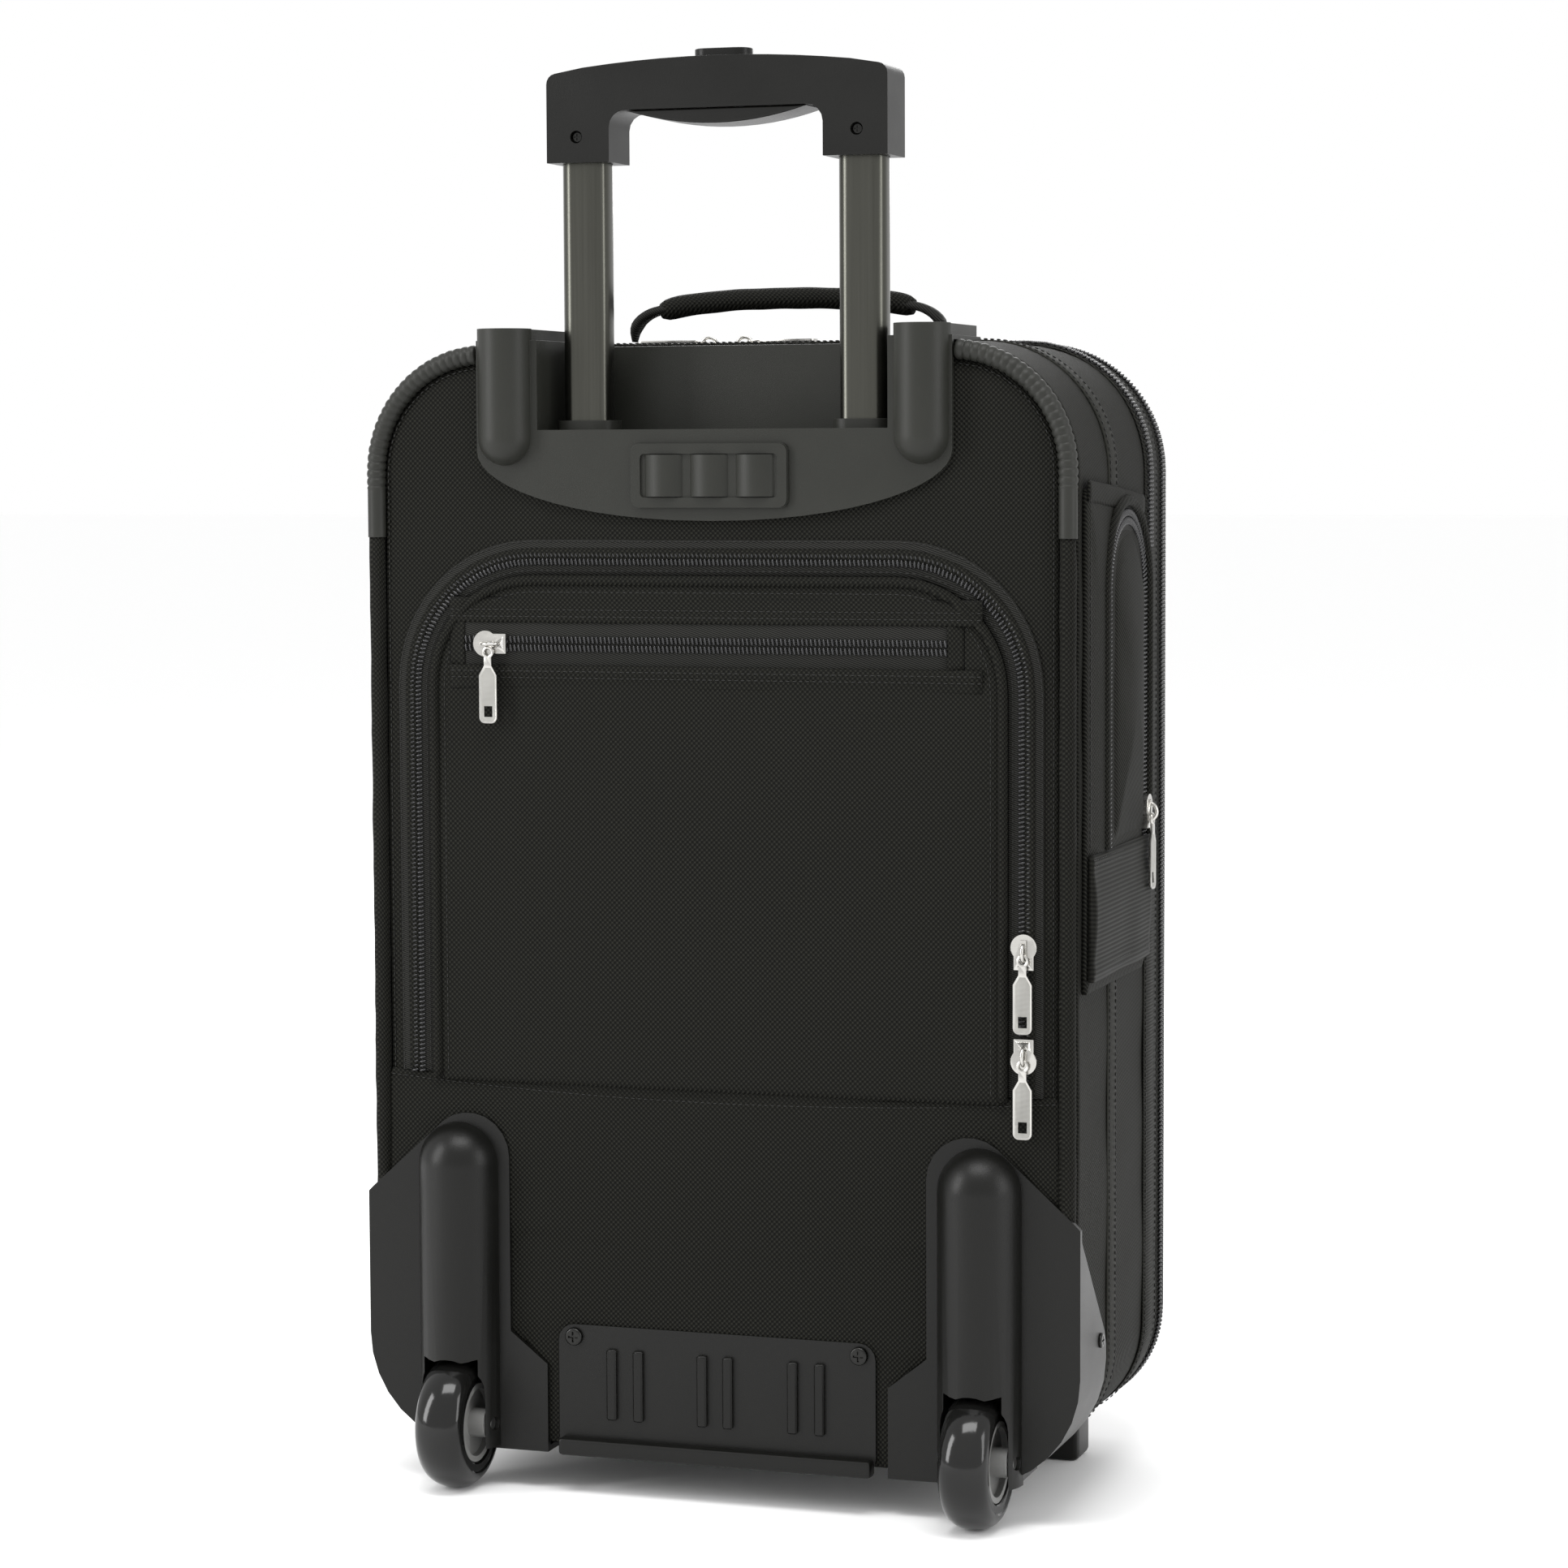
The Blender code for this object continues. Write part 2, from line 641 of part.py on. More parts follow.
def housing_outline():
    """The back plate: a shallow bowl below, two ears that carry the bumpers above."""
    half, top = HOUSING_HALF_WIDTH, CASE_TOP + GAP + HOUSING_CAP
    bowl = []
    steps = 14
    for index in range(steps + 1):
        turn = math.radians(90 * index / steps)
        across = half * math.sin(turn) ** 0.85
        rise = (HOUSING_SHOULDER - HOUSING_LOW) * (1 - math.cos(turn)) ** 0.9
        bowl.append((across, HOUSING_LOW + rise))
    right = bowl + [(half, top), (WELL_HALF_WIDTH, top), (WELL_HALF_WIDTH, WELL_FLOOR)]
    left = [(-x, z) for x, z in reversed(right) if x > 0]
    return right + left


def build_top_housing():
    """One moulding: back plate, bumpers, well floor and walls, and a cap over the top edge."""
    front = -GAP - HOUSING_THICKNESS
    cap_low = CASE_TOP + GAP
    cap_top = cap_low + HOUSING_CAP
    wall = WELL_HALF_WIDTH + WELL_WALL
    housing = plate_between("top_housing", [housing_outline()], front, -GAP)
    floor = block("well_floor", (-wall, front, WELL_FLOOR - WELL_WALL), (wall, WELL_DEPTH, WELL_FLOOR))
    join(housing, floor)
    for side, sign in SIDES:
        inner, outer = sorted((sign * WELL_HALF_WIDTH, sign * wall))
        join(housing, block(
            f"well_wall_{side}", (inner, front / 2, WELL_FLOOR - WELL_WALL / 2),
            (outer, WELL_DEPTH, cap_top),
        ))
        inner, outer = sorted((sign * (WELL_HALF_WIDTH + WELL_WALL / 2), sign * HOUSING_HALF_WIDTH))
        join(housing, block(
            f"housing_cap_{side}", (inner, front, cap_low), (outer, WELL_DEPTH, cap_top)
        ))
        bumper = half_column(
            f"bumper_{side}", sign * BUMPER_X, front / 2, BUMPER_R, BUMPER_LOW, BUMPER_TOP,
            dome_low=True,
        )
        join(housing, bumper)
        middle = sign * BUMPER_X
        bumper_cap = block(
            f"bumper_cap_{side}", (middle - BUMPER_R + GAP, front, cap_top - HOUSING_CAP / 2),
            (middle + BUMPER_R - GAP, WELL_DEPTH - HOUSING_CAP, BUMPER_TOP - GAP),
        )
        join(housing, bumper_cap)
        collar = plate(
            f"tube_collar_{side}", [tube_section(RUNNING + COLLAR_WIDTH)],
            COLLAR_HEIGHT + WELL_WALL / 2,
            (sign * TUBE_X, TUBE_Y, WELL_FLOOR + COLLAR_HEIGHT / 2 - WELL_WALL / 4), "XY",
        )
        join(housing, collar)
    for side, sign in SIDES:
        cut(housing, plate(
            f"tube_hole_{side}", [tube_section(RUNNING)], 2 * WELL_DROP,
            (sign * TUBE_X, TUBE_Y, WELL_FLOOR), "XY",
        ))
    as_part(housing, GREY_PLASTIC)

    reach = wall - GAP
    low = WELL_FLOOR - WELL_WALL
    back = block(
        "well_back_wall", (-reach, WELL_DEPTH + GAP, low),
        (reach, WELL_DEPTH + GAP + BACK_WALL_THICKNESS, cap_low),
    )
    as_part(back, GREY_PLASTIC)


def build_badge():
    """A plain framed panel of three rounded pads on the housing, with no mark on it."""
    front = -GAP - HOUSING_THICKNESS - GAP
    half, low, high = BADGE_HALF_WIDTH, BADGE_LOW, BADGE_HIGH
    outer = rounded((-half, low), (half, high), BADGE_CORNER_R)
    badge = plate_between("badge_panel", [outer], front - BADGE_PLATE, front)
    rim_low, rim_high = (-half + BADGE_RIM, low + BADGE_RIM), (half - BADGE_RIM, high - BADGE_RIM)
    rim = rounded(rim_low, rim_high, BADGE_CORNER_R / 2)
    ridge = rounded((-half + GAP, low + GAP), (half - GAP, high - GAP), BADGE_CORNER_R)
    join(badge, plate_between("badge_rim", [ridge, rim], front - 2 * BADGE_PLATE, front - BADGE_PLATE / 2))
    pitch = 2 * (half - BADGE_RIM) / BADGE_PADS
    for index in range(BADGE_PADS):
        x = (index - (BADGE_PADS - 1) / 2) * pitch
        swell = BADGE_PAD_SWELL
        width = pitch - 2 * BADGE_PLATE
        radius = (width * width / 4 + swell * swell) / (2 * swell)
        reach = math.degrees(math.asin(width / 2 / radius))
        pad = arc(x, radius - swell, radius, -90 - reach, -90 + reach, 8)
        join(badge, plate(
            f"badge_pad_{index + 1}", [pad], high - low - 2 * BADGE_RIM - 3 * GAP,
            (0.0, front - BADGE_PLATE / 2, (low + high) / 2), "XY",
        ))
    as_part(badge, GREY_PLASTIC)


# ---------------------------------------------------------------- trolley

def build_guides():
    """Guide tubes inside the case, drilled where the latch pins lock, on one bracket."""
    inner = tube_section(RUNNING)
    outer = tube_section(RUNNING + GUIDE_WALL)
    top = WELL_FLOOR - WELL_WALL - GAP
    face = TUBE_X + TUBE_WIDTH / 2
    for side, sign in SIDES:
        guide = plate(
            f"guide_tube_{side}", [outer, inner], top - GUIDE_LOW,
            (sign * TUBE_X, TUBE_Y, (top + GUIDE_LOW) / 2), "XY",
        )
        for stop, shift in (("down", -TROLLEY_DOWN), ("up", TROLLEY_UP)):
            z = TUBE_LOW + PIN_HEIGHT + shift
            cut(guide, rod(
                f"lock_hole_{side}_{stop}", (sign * (face - OVERRUN), TUBE_Y, z),
                (sign * (face + 2 * OVERRUN), TUBE_Y, z), PIN_R + GAP,
            ))
        as_part(guide, STEEL)
    reach = TUBE_X + TUBE_WIDTH / 2 + GUIDE_WALL
    depth = TUBE_DEPTH / 2 + GUIDE_WALL + BRACKET_MARGIN
    bracket = block(
        "guide_bracket", (-reach, TUBE_Y - depth, GUIDE_LOW - BRACKET_HEIGHT),
        (reach, TUBE_Y + depth, GUIDE_LOW - GAP),
    )
    round_edges(bracket, BRACKET_MARGIN / 2)
    as_part(bracket, BLACK_PLASTIC)


def build_trolley_tubes():
    """Sliding tubes, each with a plug at its foot that carries a latch pin."""
    face = TUBE_X + TUBE_WIDTH / 2
    pin_z = TUBE_LOW + PIN_HEIGHT
    for side, sign in SIDES:
        tube = plate(
            f"trolley_tube_{side}", [tube_section(), tube_section(-TUBE_WALL)], TUBE_TOP - TUBE_LOW,
            (sign * TUBE_X, TUBE_Y, (TUBE_TOP + TUBE_LOW) / 2), "XY",
        )
        cut(tube, rod(
            f"tube_pin_hole_{side}", (sign * (face - 2 * OVERRUN), TUBE_Y, pin_z),
            (sign * (face + OVERRUN), TUBE_Y, pin_z), PIN_R + GAP,
        ))
        as_part(tube, ANODISED, trolley_slide)

        plug = plate(
            f"tube_plug_{side}", [tube_section(-TUBE_WALL - GAP / 2)], PLUG_HEIGHT,
            (sign * TUBE_X, TUBE_Y, TUBE_LOW + PLUG_HEIGHT / 2), "XY",
        )
        cut(plug, rod(
            f"plug_pin_bore_{side}", (sign * (TUBE_X + ROD_R), TUBE_Y, pin_z),
            (sign * (face + OVERRUN), TUBE_Y, pin_z), PIN_R + GAP,
        ))
        cut(plug, rod(
            f"plug_rod_bore_{side}", (sign * TUBE_X, TUBE_Y, pin_z - PIN_R),
            (sign * TUBE_X, TUBE_Y, TUBE_LOW + PLUG_HEIGHT + OVERRUN), ROD_R + GAP,
        ))
        as_part(plug, BLACK_PLASTIC, trolley_slide)

        pin = rod(
            f"latch_pin_{side}", (sign * (TUBE_X + ROD_R + PIN_R), TUBE_Y, pin_z),
            (sign * face, TUBE_Y, pin_z), PIN_R,
        )
        as_part(pin, STEEL, trolley_slide)


def grip_outline():
    """The grip from the back: two legs, a crowned top, an arched underside."""
    half = GRIP_HALF_WIDTH
    inner = half - GRIP_LEG_WIDTH
    corner = GRIP_CORNER_R
    right = [(half, GRIP_LEG_BOTTOM)] + arc(half - corner, GRIP_SHOULDER - corner, corner, 0, 80, 4)
    crown = []
    steps = 6
    for index in range(1, steps):
        x = (half - corner) * (1 - index / steps)
        crown.append((x, GRIP_SHOULDER + (GRIP_CROWN - GRIP_SHOULDER) * (1 - (x / half) ** 2)))
    under = arc(inner - GRIP_FILLET, GRIP_UNDERSIDE - GRIP_FILLET, GRIP_FILLET, 90, 0, 4)
    under.append((inner, GRIP_LEG_BOTTOM))
    right_top = right + crown
    loop = right_top + [(0.0, GRIP_CROWN)] + [(-x, z) for x, z in reversed(right_top)]
    return loop + [(-x, z) for x, z in reversed(under)] + under


def build_grip():
    """Grip body with a slot for the latch yoke, and the belly piece that closes it."""
    front, back = TUBE_Y - GRIP_DEPTH / 2, TUBE_Y + GRIP_DEPTH / 2
    grip = plate_between("grip_body", [grip_outline()], front, back)
    round_edges(grip, GRIP_EDGE_R)
    slot_reach = TUBE_X + ROD_R + YOKE_THICKNESS
    cut(grip, block(
        "yoke_slot", (-slot_reach, TUBE_Y - SLOT_DEPTH / 2, SLOT_FLOOR),
        (slot_reach, TUBE_Y + SLOT_DEPTH / 2, SLOT_TOP),
    ))
    inner = GRIP_HALF_WIDTH - GRIP_LEG_WIDTH
    spring_low, spring_high = (0, TUBE_Y, GRIP_UNDERSIDE - OVERRUN), (0, TUBE_Y, SLOT_TOP - OVERRUN)
    cut(grip, rod("spring_hole", spring_low, spring_high, SPRING_HOLE_R, 20))
    for side, sign in SIDES:
        place = (sign * TUBE_X, TUBE_Y, TUBE_TOP + GAP - GRIP_SOCKET_DEPTH)
        socket = plate(f"tube_socket_{side}", [tube_section(GAP)], 2 * GRIP_SOCKET_DEPTH, place, "XY")
        cut(grip, socket)
        cut(grip, rod(
            f"rod_passage_{side}", (sign * TUBE_X, TUBE_Y, TUBE_TOP - OVERRUN),
            (sign * TUBE_X, TUBE_Y, SLOT_FLOOR + OVERRUN), ROD_R * 1.5,
        ))
    hole = rounded(
        (-BUTTON_HALF_WIDTH - RUNNING, -BUTTON_DEPTH / 2 - RUNNING),
        (BUTTON_HALF_WIDTH + RUNNING, BUTTON_DEPTH / 2 + RUNNING), BUTTON_DEPTH / 2,
    )
    hole_height = 2 * (BUTTON_TOP - SLOT_FLOOR - YOKE_THICKNESS)
    cut(grip, plate("button_hole", [hole], hole_height, (0, TUBE_Y, BUTTON_TOP), "XY"))
    as_part(grip, BLACK_PLASTIC, trolley_slide)

    reach = inner - GRIP_FILLET
    top = GRIP_UNDERSIDE - GAP
    drop = BELLY_DROP
    radius = (reach * reach + drop * drop) / (2 * drop)
    spread = math.degrees(math.asin(reach / radius))
    outline = arc(0.0, top - drop + radius, radius, -90 - spread, -90 + spread, 14)
    belly = plate_between("grip_belly", [outline], front + BELLY_INSET, back - BELLY_INSET)
    as_part(belly, BLACK_PLASTIC, trolley_slide)


def build_button():
    """Push button, the yoke and rods under it, and the spring that lifts them."""
    yoke_top = SLOT_TOP - YOKE_DROP
    yoke_low = yoke_top - YOKE_THICKNESS
    reach = TUBE_X + ROD_R * 1.5
    yoke = block(
        "latch_yoke", (-reach, TUBE_Y - YOKE_WIDTH / 2, yoke_low),
        (reach, TUBE_Y + YOKE_WIDTH / 2, yoke_top),
    )
    rod_end = TUBE_LOW + PIN_HEIGHT + PIN_R + BUTTON_TRAVEL
    for side, sign in SIDES:
        x = sign * TUBE_X
        rod_top = (x, TUBE_Y, yoke_low + YOKE_THICKNESS / 2)
        join(yoke, rod(f"latch_rod_{side}", (x, TUBE_Y, rod_end), rod_top, ROD_R, 10))
    as_part(yoke, STEEL, trolley_slide)

    outline = rounded(
        (-BUTTON_HALF_WIDTH, -BUTTON_DEPTH / 2), (BUTTON_HALF_WIDTH, BUTTON_DEPTH / 2),
        BUTTON_DEPTH / 2 - GAP, 5,
    )
    low = yoke_top + GAP
    button = plate("push_button", [outline], BUTTON_TOP - low, (0, TUBE_Y, (BUTTON_TOP + low) / 2), "XY")
    round_edges(button, 0.0012)
    as_part(button, BLACK_PLASTIC, trolley_slide)

    bottom = GRIP_UNDERSIDE + SPRING_WIRE_R
    top = yoke_low - GAP - SPRING_WIRE_R
    path = []
    steps = 10 * SPRING_TURNS
    for index in range(steps + 1):
        turn = 2 * math.pi * SPRING_TURNS * index / steps
        rise = bottom + (top - bottom) * index / steps
        path.append((SPRING_R * math.cos(turn), TUBE_Y + SPRING_R * math.sin(turn), rise))
    as_part(swept("button_spring", path, SPRING_WIRE_R, resolution=1), STEEL, trolley_slide)


# ---------------------------------------------------------------- wheels

def flange_outline(sign):
    """The wheel housing from the back, for one side."""
    low = CASE_BOTTOM - SKIN
    side = CASE_HALF_WIDTH + SKIN
    centre_z = FLANGE_TOP - FLANGE_R
    inner = FLANGE_X - FLANGE_R
    corner = arc(
        CASE_HALF_WIDTH - BOTTOM_CORNER_R, CASE_BOTTOM + BOTTOM_CORNER_R,
        BOTTOM_CORNER_R + SKIN, 0, -90, 8,
    )
    points = (
        [(FLANGE_FOOT_X, low), (FLANGE_FOOT_X, FLANGE_FOOT_Z), (inner, FLANGE_WAIST_Z)]
        + arc(FLANGE_X, centre_z, FLANGE_R, 180, 50, 8)
        + [(side - CORNER_CUT, FLANGE_CORNER_Z + CORNER_CUT), (side, FLANGE_CORNER_Z)]
        + corner
    )
    return [(sign * x, z) for x, z in points]


def wrap_outline(sign):
    """The skin that follows the case round its bottom corner."""
    centre_x = CASE_HALF_WIDTH - BOTTOM_CORNER_R
    centre_z = CASE_BOTTOM + BOTTOM_CORNER_R
    outer = arc(centre_x, centre_z, BOTTOM_CORNER_R + SKIN, 0, -90, 8)
    inner = arc(centre_x, centre_z, BOTTOM_CORNER_R + GAP, -90, 0, 8)
    points = (
        [(CASE_HALF_WIDTH + SKIN, FLANGE_CORNER_Z)] + outer
        + [(FLANGE_FOOT_X, CASE_BOTTOM - SKIN), (FLANGE_FOOT_X, CASE_BOTTOM - GAP)]
        + inner + [(CASE_HALF_WIDTH + GAP, FLANGE_CORNER_Z)]
    )
    return [(sign * x, z) for x, z in points]


def build_wheel_housing(side, sign):
    """One moulding: flange, bulge over the wheel, skin round the corner, and wheel box."""
    face = -GAP - SKIN
    middle = sign * WHEEL_X
    housing = plate_between(f"wheel_housing_{side}", [flange_outline(sign)], face, -GAP)
    wrap = plate_between(f"corner_skin_{side}", [wrap_outline(sign)], face, WRAP_DEPTH)
    past, above = WRAP_DEPTH + OVERRUN, FLANGE_CORNER_Z + OVERRUN
    slope = [
        (face - OVERRUN / 2, FLANGE_CORNER_Z - OVERRUN / 2),
        (WRAP_DEPTH - CORNER_CUT, WRAP_LOW_Z + CORNER_CUT),
        (WRAP_DEPTH + OVERRUN / 2, WRAP_LOW_Z - 2 * CORNER_CUT), (past, WRAP_LOW_Z - 2 * CORNER_CUT),
        (past, above), (face - OVERRUN / 2, above),
    ]
    side_x = sign * CASE_HALF_WIDTH
    cut(wrap, plate(f"skin_slope_{side}", [slope], BOTTOM_CORNER_R, (side_x, 0, 0), "YZ"))
    join(housing, wrap)
    join(housing, half_column(
        f"wheel_bulge_{side}", middle, face / 2, CHEEK_OUTER, CASE_BOTTOM - SKIN / 2, BULGE_TOP,
        dome_high=True,
    ))
    half = CHEEK_INNER + WHEEL_BOX_WALL
    join(housing, block(
        f"wheel_box_{side}", (middle - half, face * 0.9, CASE_BOTTOM - SKIN / 2),
        (middle + half, WHEEL_BOX_DEPTH, WHEEL_BOX_TOP),
    ))
    inside = WHEEL_BOX_DEPTH - WHEEL_BOX_WALL
    arch_z = WHEEL_ARCH_TOP - CHEEK_INNER
    outside = -2 * WHEEL_R
    cut(housing, block(
        f"wheel_slot_{side}", (middle - CHEEK_INNER, outside, -WHEEL_R),
        (middle + CHEEK_INNER, inside, arch_z),
    ))
    cut(housing, rod(
        f"wheel_arch_{side}", (middle, outside, arch_z), (middle, inside - GAP, arch_z),
        CHEEK_INNER - GAP / 2, 32,
    ))
    sweep = WHEEL_HALF_WIDTH + WHEEL_CLEARANCE
    cut(housing, rod(
        f"wheel_sweep_{side}", (middle - sweep, AXLE_Y, WHEEL_R), (middle + sweep, AXLE_Y, WHEEL_R),
        WHEEL_R + WHEEL_CLEARANCE, 40,
    ))
    reach = CHEEK_OUTER + OVERRUN
    cut(housing, rod(
        f"axle_hole_{side}", (middle - reach, AXLE_Y, WHEEL_R), (middle + reach, AXLE_Y, WHEEL_R),
        AXLE_R + AXLE_CLEARANCE,
    ))
    as_part(housing, BLACK_PLASTIC)


def build_wheel(side, sign):
    """Polyurethane tyre on a plastic hub that turns on a steel axle."""
    place = (sign * WHEEL_X, AXLE_Y, WHEEL_R)
    half = WHEEL_HALF_WIDTH
    bore = HUB_R + GAP
    tread = []
    steps = 8
    for index in range(steps + 1):
        turn = math.radians(90 - 180 * index / steps)
        bow = (WHEEL_R - TYRE_SHOULDER_R) * math.cos(turn)
        tread.append((TYRE_SHOULDER_R + bow, half * math.sin(turn)))
    tyre = turned(f"tyre_{side}", [(bore, half)] + tread + [(bore, -half)], place)
    as_part(tyre, WHEEL_PU)

    boss = AXLE_R + HUB_BOSS_WALL
    bush = AXLE_R + AXLE_CLEARANCE / 2
    web = half - HUB_WEB_INSET
    long = CHEEK_INNER - BOSS_CLEARANCE
    rim, step = HUB_R - HUB_RIM, web - HUB_RIM
    profile = [
        (bush, long), (boss, long), (boss, step), (rim, step), (rim, web), (HUB_R, web),
        (HUB_R, -web), (rim, -web), (rim, -step), (boss, -step), (boss, -long), (bush, -long),
    ]
    as_part(turned(f"wheel_hub_{side}", profile, place, 28), HUB_GREY)

    reach = math.sqrt(CHEEK_OUTER ** 2 - AXLE_Y ** 2) - AXLE_RECESS
    x, y, z = place
    as_part(rod(f"axle_{side}", (x - reach, y, z), (x + reach, y, z), AXLE_R, 24), STEEL)


# ---------------------------------------------------------------- kick plate and feet

def build_kick_plate():
    """Moulded plate across the foot of the back, with ribs and a rounded lip."""
    face = -GAP - KICK_THICKNESS
    outline = rounded((-KICK_HALF_WIDTH, KICK_LOW), (KICK_HALF_WIDTH, KICK_HIGH), KICK_CORNER_R)
    kick = plate_between("kick_plate", [outline], face, -GAP)
    lip = block(
        "kick_lip", (-KICK_HALF_WIDTH + 0.001, face - KICK_LIP, KICK_LOW - 0.0005),
        (KICK_HALF_WIDTH - 0.001, -GAP - 0.0005, KICK_LOW + KICK_LIP_HEIGHT),
    )
    round_edges(lip, 0.002)
    join(kick, lip)
    for place in RIB_CENTRES:
        for side, sign in SIDES:
            x = sign * place
            rib = block(
                f"kick_rib_{side}_{round(place * 1e4)}", (x - RIB_WIDTH / 2, face - RIB_HEIGHT, RIB_LOW),
                (x + RIB_WIDTH / 2, face + 0.001, RIB_HIGH),
            )
            round_edges(rib, 0.0008, 1)
            join(kick, rib)
    for side, sign in SIDES:
        x, z = sign * (KICK_HALF_WIDTH - SCREW_INSET), KICK_HIGH - SCREW_DROP
        cut(kick, rod(f"kick_screw_hole_{side}", (x, -SCREW_REACH, z), (x, SCREW_REACH, z), SCREW_R + GAP))
    as_part(kick, BLACK_PLASTIC)

    for side, sign in SIDES:
        x, z = sign * (KICK_HALF_WIDTH - SCREW_INSET), KICK_HIGH - SCREW_DROP
        seat = face - GAP
        screw = rod(
            f"kick_screw_{side}", (x, seat - SCREW_HEAD_HEIGHT, z), (x, seat, z), SCREW_HEAD_R, 20
        )
        join(screw, rod(
            f"screw_shank_{side}", (x, seat - SCREW_HEAD_HEIGHT / 2, z),
            (x, PANEL_THICKNESS + SCREW_BITE, z), SCREW_R,
        ))
        as_part(screw, SCREW_BLACK)


def build_feet():
    """Two rubber-hard feet under the front edge, level with the wheels."""
    for side, sign in SIDES:
        x = sign * FOOT_X
        foot = block(
            f"foot_{side}", (x - FOOT_WIDTH / 2, FOOT_Y - FOOT_DEPTH / 2, 0.0),
            (x + FOOT_WIDTH / 2, FOOT_Y + FOOT_DEPTH / 2, CASE_BOTTOM - GAP),
        )
        round_edges(foot, FOOT_EDGE_R)
        as_part(foot, BLACK_PLASTIC)


# ---------------------------------------------------------------- pockets and zips

def arch(half_width, low, high, corner, centre=0.0):
    """A doorway shape: straight legs, rounded shoulders, flat foot."""
    right, left = centre + half_width, centre - half_width
    shoulders = (
        arc(right - corner, high - corner, corner, 0, 90, 8)
        + arc(left + corner, high - corner, corner, 90, 180, 8)
    )
    return [(right, low)] + shoulders + [(left, low)]


def arch_band(name, half_width, low, high, corner, width, start, end, plane, centre=0.0):
    """A zip that follows a doorway: the space between two nested arches."""
    outer = arch(half_width + width / 2, low, high + width / 2, corner + width / 2, centre)
    inner = arch(half_width - width / 2, low, high - width / 2, corner - width / 2, centre)
    return plate_between(name, [outer + inner[::-1]], start, end, plane)


def build_back_pocket():
    """The pocket flap on the back, the long zip round it and the short zip across it."""
    flap = plate_between(
        "back_pocket_flap", [arch(FLAP_HALF_WIDTH, FLAP_LOW, FLAP_HIGH, FLAP_CORNER_R)],
        -GAP - FLAP_THICKNESS, -GAP,
    )
    as_part(flap, BLACK_NYLON)
    long_zip = arch_band(
        "back_pocket_zip", FLAP_HALF_WIDTH + LONG_ZIP_OFFSET, FLAP_LOW, FLAP_HIGH + LONG_ZIP_OFFSET,
        FLAP_CORNER_R + LONG_ZIP_OFFSET, LONG_ZIP_WIDTH, -GAP - LONG_ZIP_THICKNESS, -GAP, "XZ",
    )
    as_part(long_zip, ZIP_COIL)
    face = -2 * GAP - FLAP_THICKNESS
    short_zip = block(
        "flap_zip", (SHORT_ZIP_LEFT, face - ZIP_TAPE, SHORT_ZIP_Z - SHORT_ZIP_WIDTH / 2),
        (SHORT_ZIP_RIGHT, face, SHORT_ZIP_Z + SHORT_ZIP_WIDTH / 2),
    )
    as_part(short_zip, ZIP_COIL)


def build_side_pocket():
    """The pocket on the right wall, its arched zip and the band across its foot."""
    start = CASE_HALF_WIDTH + GAP
    face = start + SIDE_POCKET_THICKNESS
    half = (SIDE_POCKET_FRONT - SIDE_POCKET_BACK) / 2
    middle = (SIDE_POCKET_FRONT + SIDE_POCKET_BACK) / 2
    corner = min(SIDE_POCKET_CORNER_R, half - GAP)
    outline = arch(half, SIDE_POCKET_LOW, SIDE_POCKET_HIGH, corner, middle)
    as_part(plate_between("side_pocket", [outline], start, face, "YZ"), SIDE_NYLON)
    zip_start = face + GAP
    side_zip = arch_band(
        "side_pocket_zip", SIDE_ZIP_R, BAND_HIGH + GAP, SIDE_ZIP_TOP, SIDE_ZIP_R, SIDE_ZIP_WIDTH,
        zip_start, zip_start + ZIP_TAPE, "YZ", SIDE_ZIP_Y,
    )
    as_part(side_zip, ZIP_COIL)
    band = block(
        "side_band", (zip_start, SIDE_POCKET_BACK, BAND_LOW),
        (zip_start + BAND_THICKNESS, SIDE_POCKET_FRONT, BAND_HIGH),
    )
    as_part(band, SIDE_NYLON)


def build_lid():
    """The zip round the case's mouth, the lid behind it and the pocket on the lid."""
    zip_start = BODY_DEPTH + GAP
    ring = [case_outline(ZIP_PROUD), case_outline(-WALL)]
    as_part(plate_between("main_zip", ring, zip_start, zip_start + ZIP_BAND), ZIP_COIL)
    lid = plate_between("lid_shell", [case_outline()], LID_START, LID_END)
    cut(lid, plate_between("lid_hollow", [case_outline(-WALL)], LID_START - OVERRUN, LID_END - LID_FACE))
    as_part(lid, SIDE_NYLON, lid_hinge)
    outline = rounded(
        (-LID_POCKET_HALF_WIDTH, LID_POCKET_LOW), (LID_POCKET_HALF_WIDTH, LID_POCKET_HIGH),
        LID_POCKET_CORNER_R, 8,
    )
    pocket = plate_between("lid_pocket", [outline], LID_END + GAP, LID_POCKET_FACE)
    round_edges(pocket, LID_POCKET_EDGE_R)
    as_part(pocket, BLACK_NYLON, lid_hinge)


def build_carry_handle():
    """Padded carry handle, narrower where its webbing meets the top of the case."""
    foot = CASE_TOP + HANDLE_PIVOT_RISE
    half = HANDLE_HALF_SPAN
    side = [
        (half, 0.0), (half - 0.002, 0.4), (half - 0.008, 0.68), (half - 0.019, 0.82), (half - 0.045, 0.94),
    ]
    heights = [(x, foot + HANDLE_RISE * share) for x, share in side]
    loop = heights + [(0.0, foot + HANDLE_RISE)] + [(-x, z) for x, z in reversed(heights)]
    end = HANDLE_END_R / HANDLE_R
    taper = [end, end, 0.8, 1.0, 1.0, 1.0, 1.0, 1.0, 0.8, end, end]
    handle = swept("carry_handle", [(x, HANDLE_Y, z) for x, z in loop], HANDLE_R, taper)
    as_part(handle, BLACK_NYLON, handle_pivot)


# ---------------------------------------------------------------- sliders and pulls

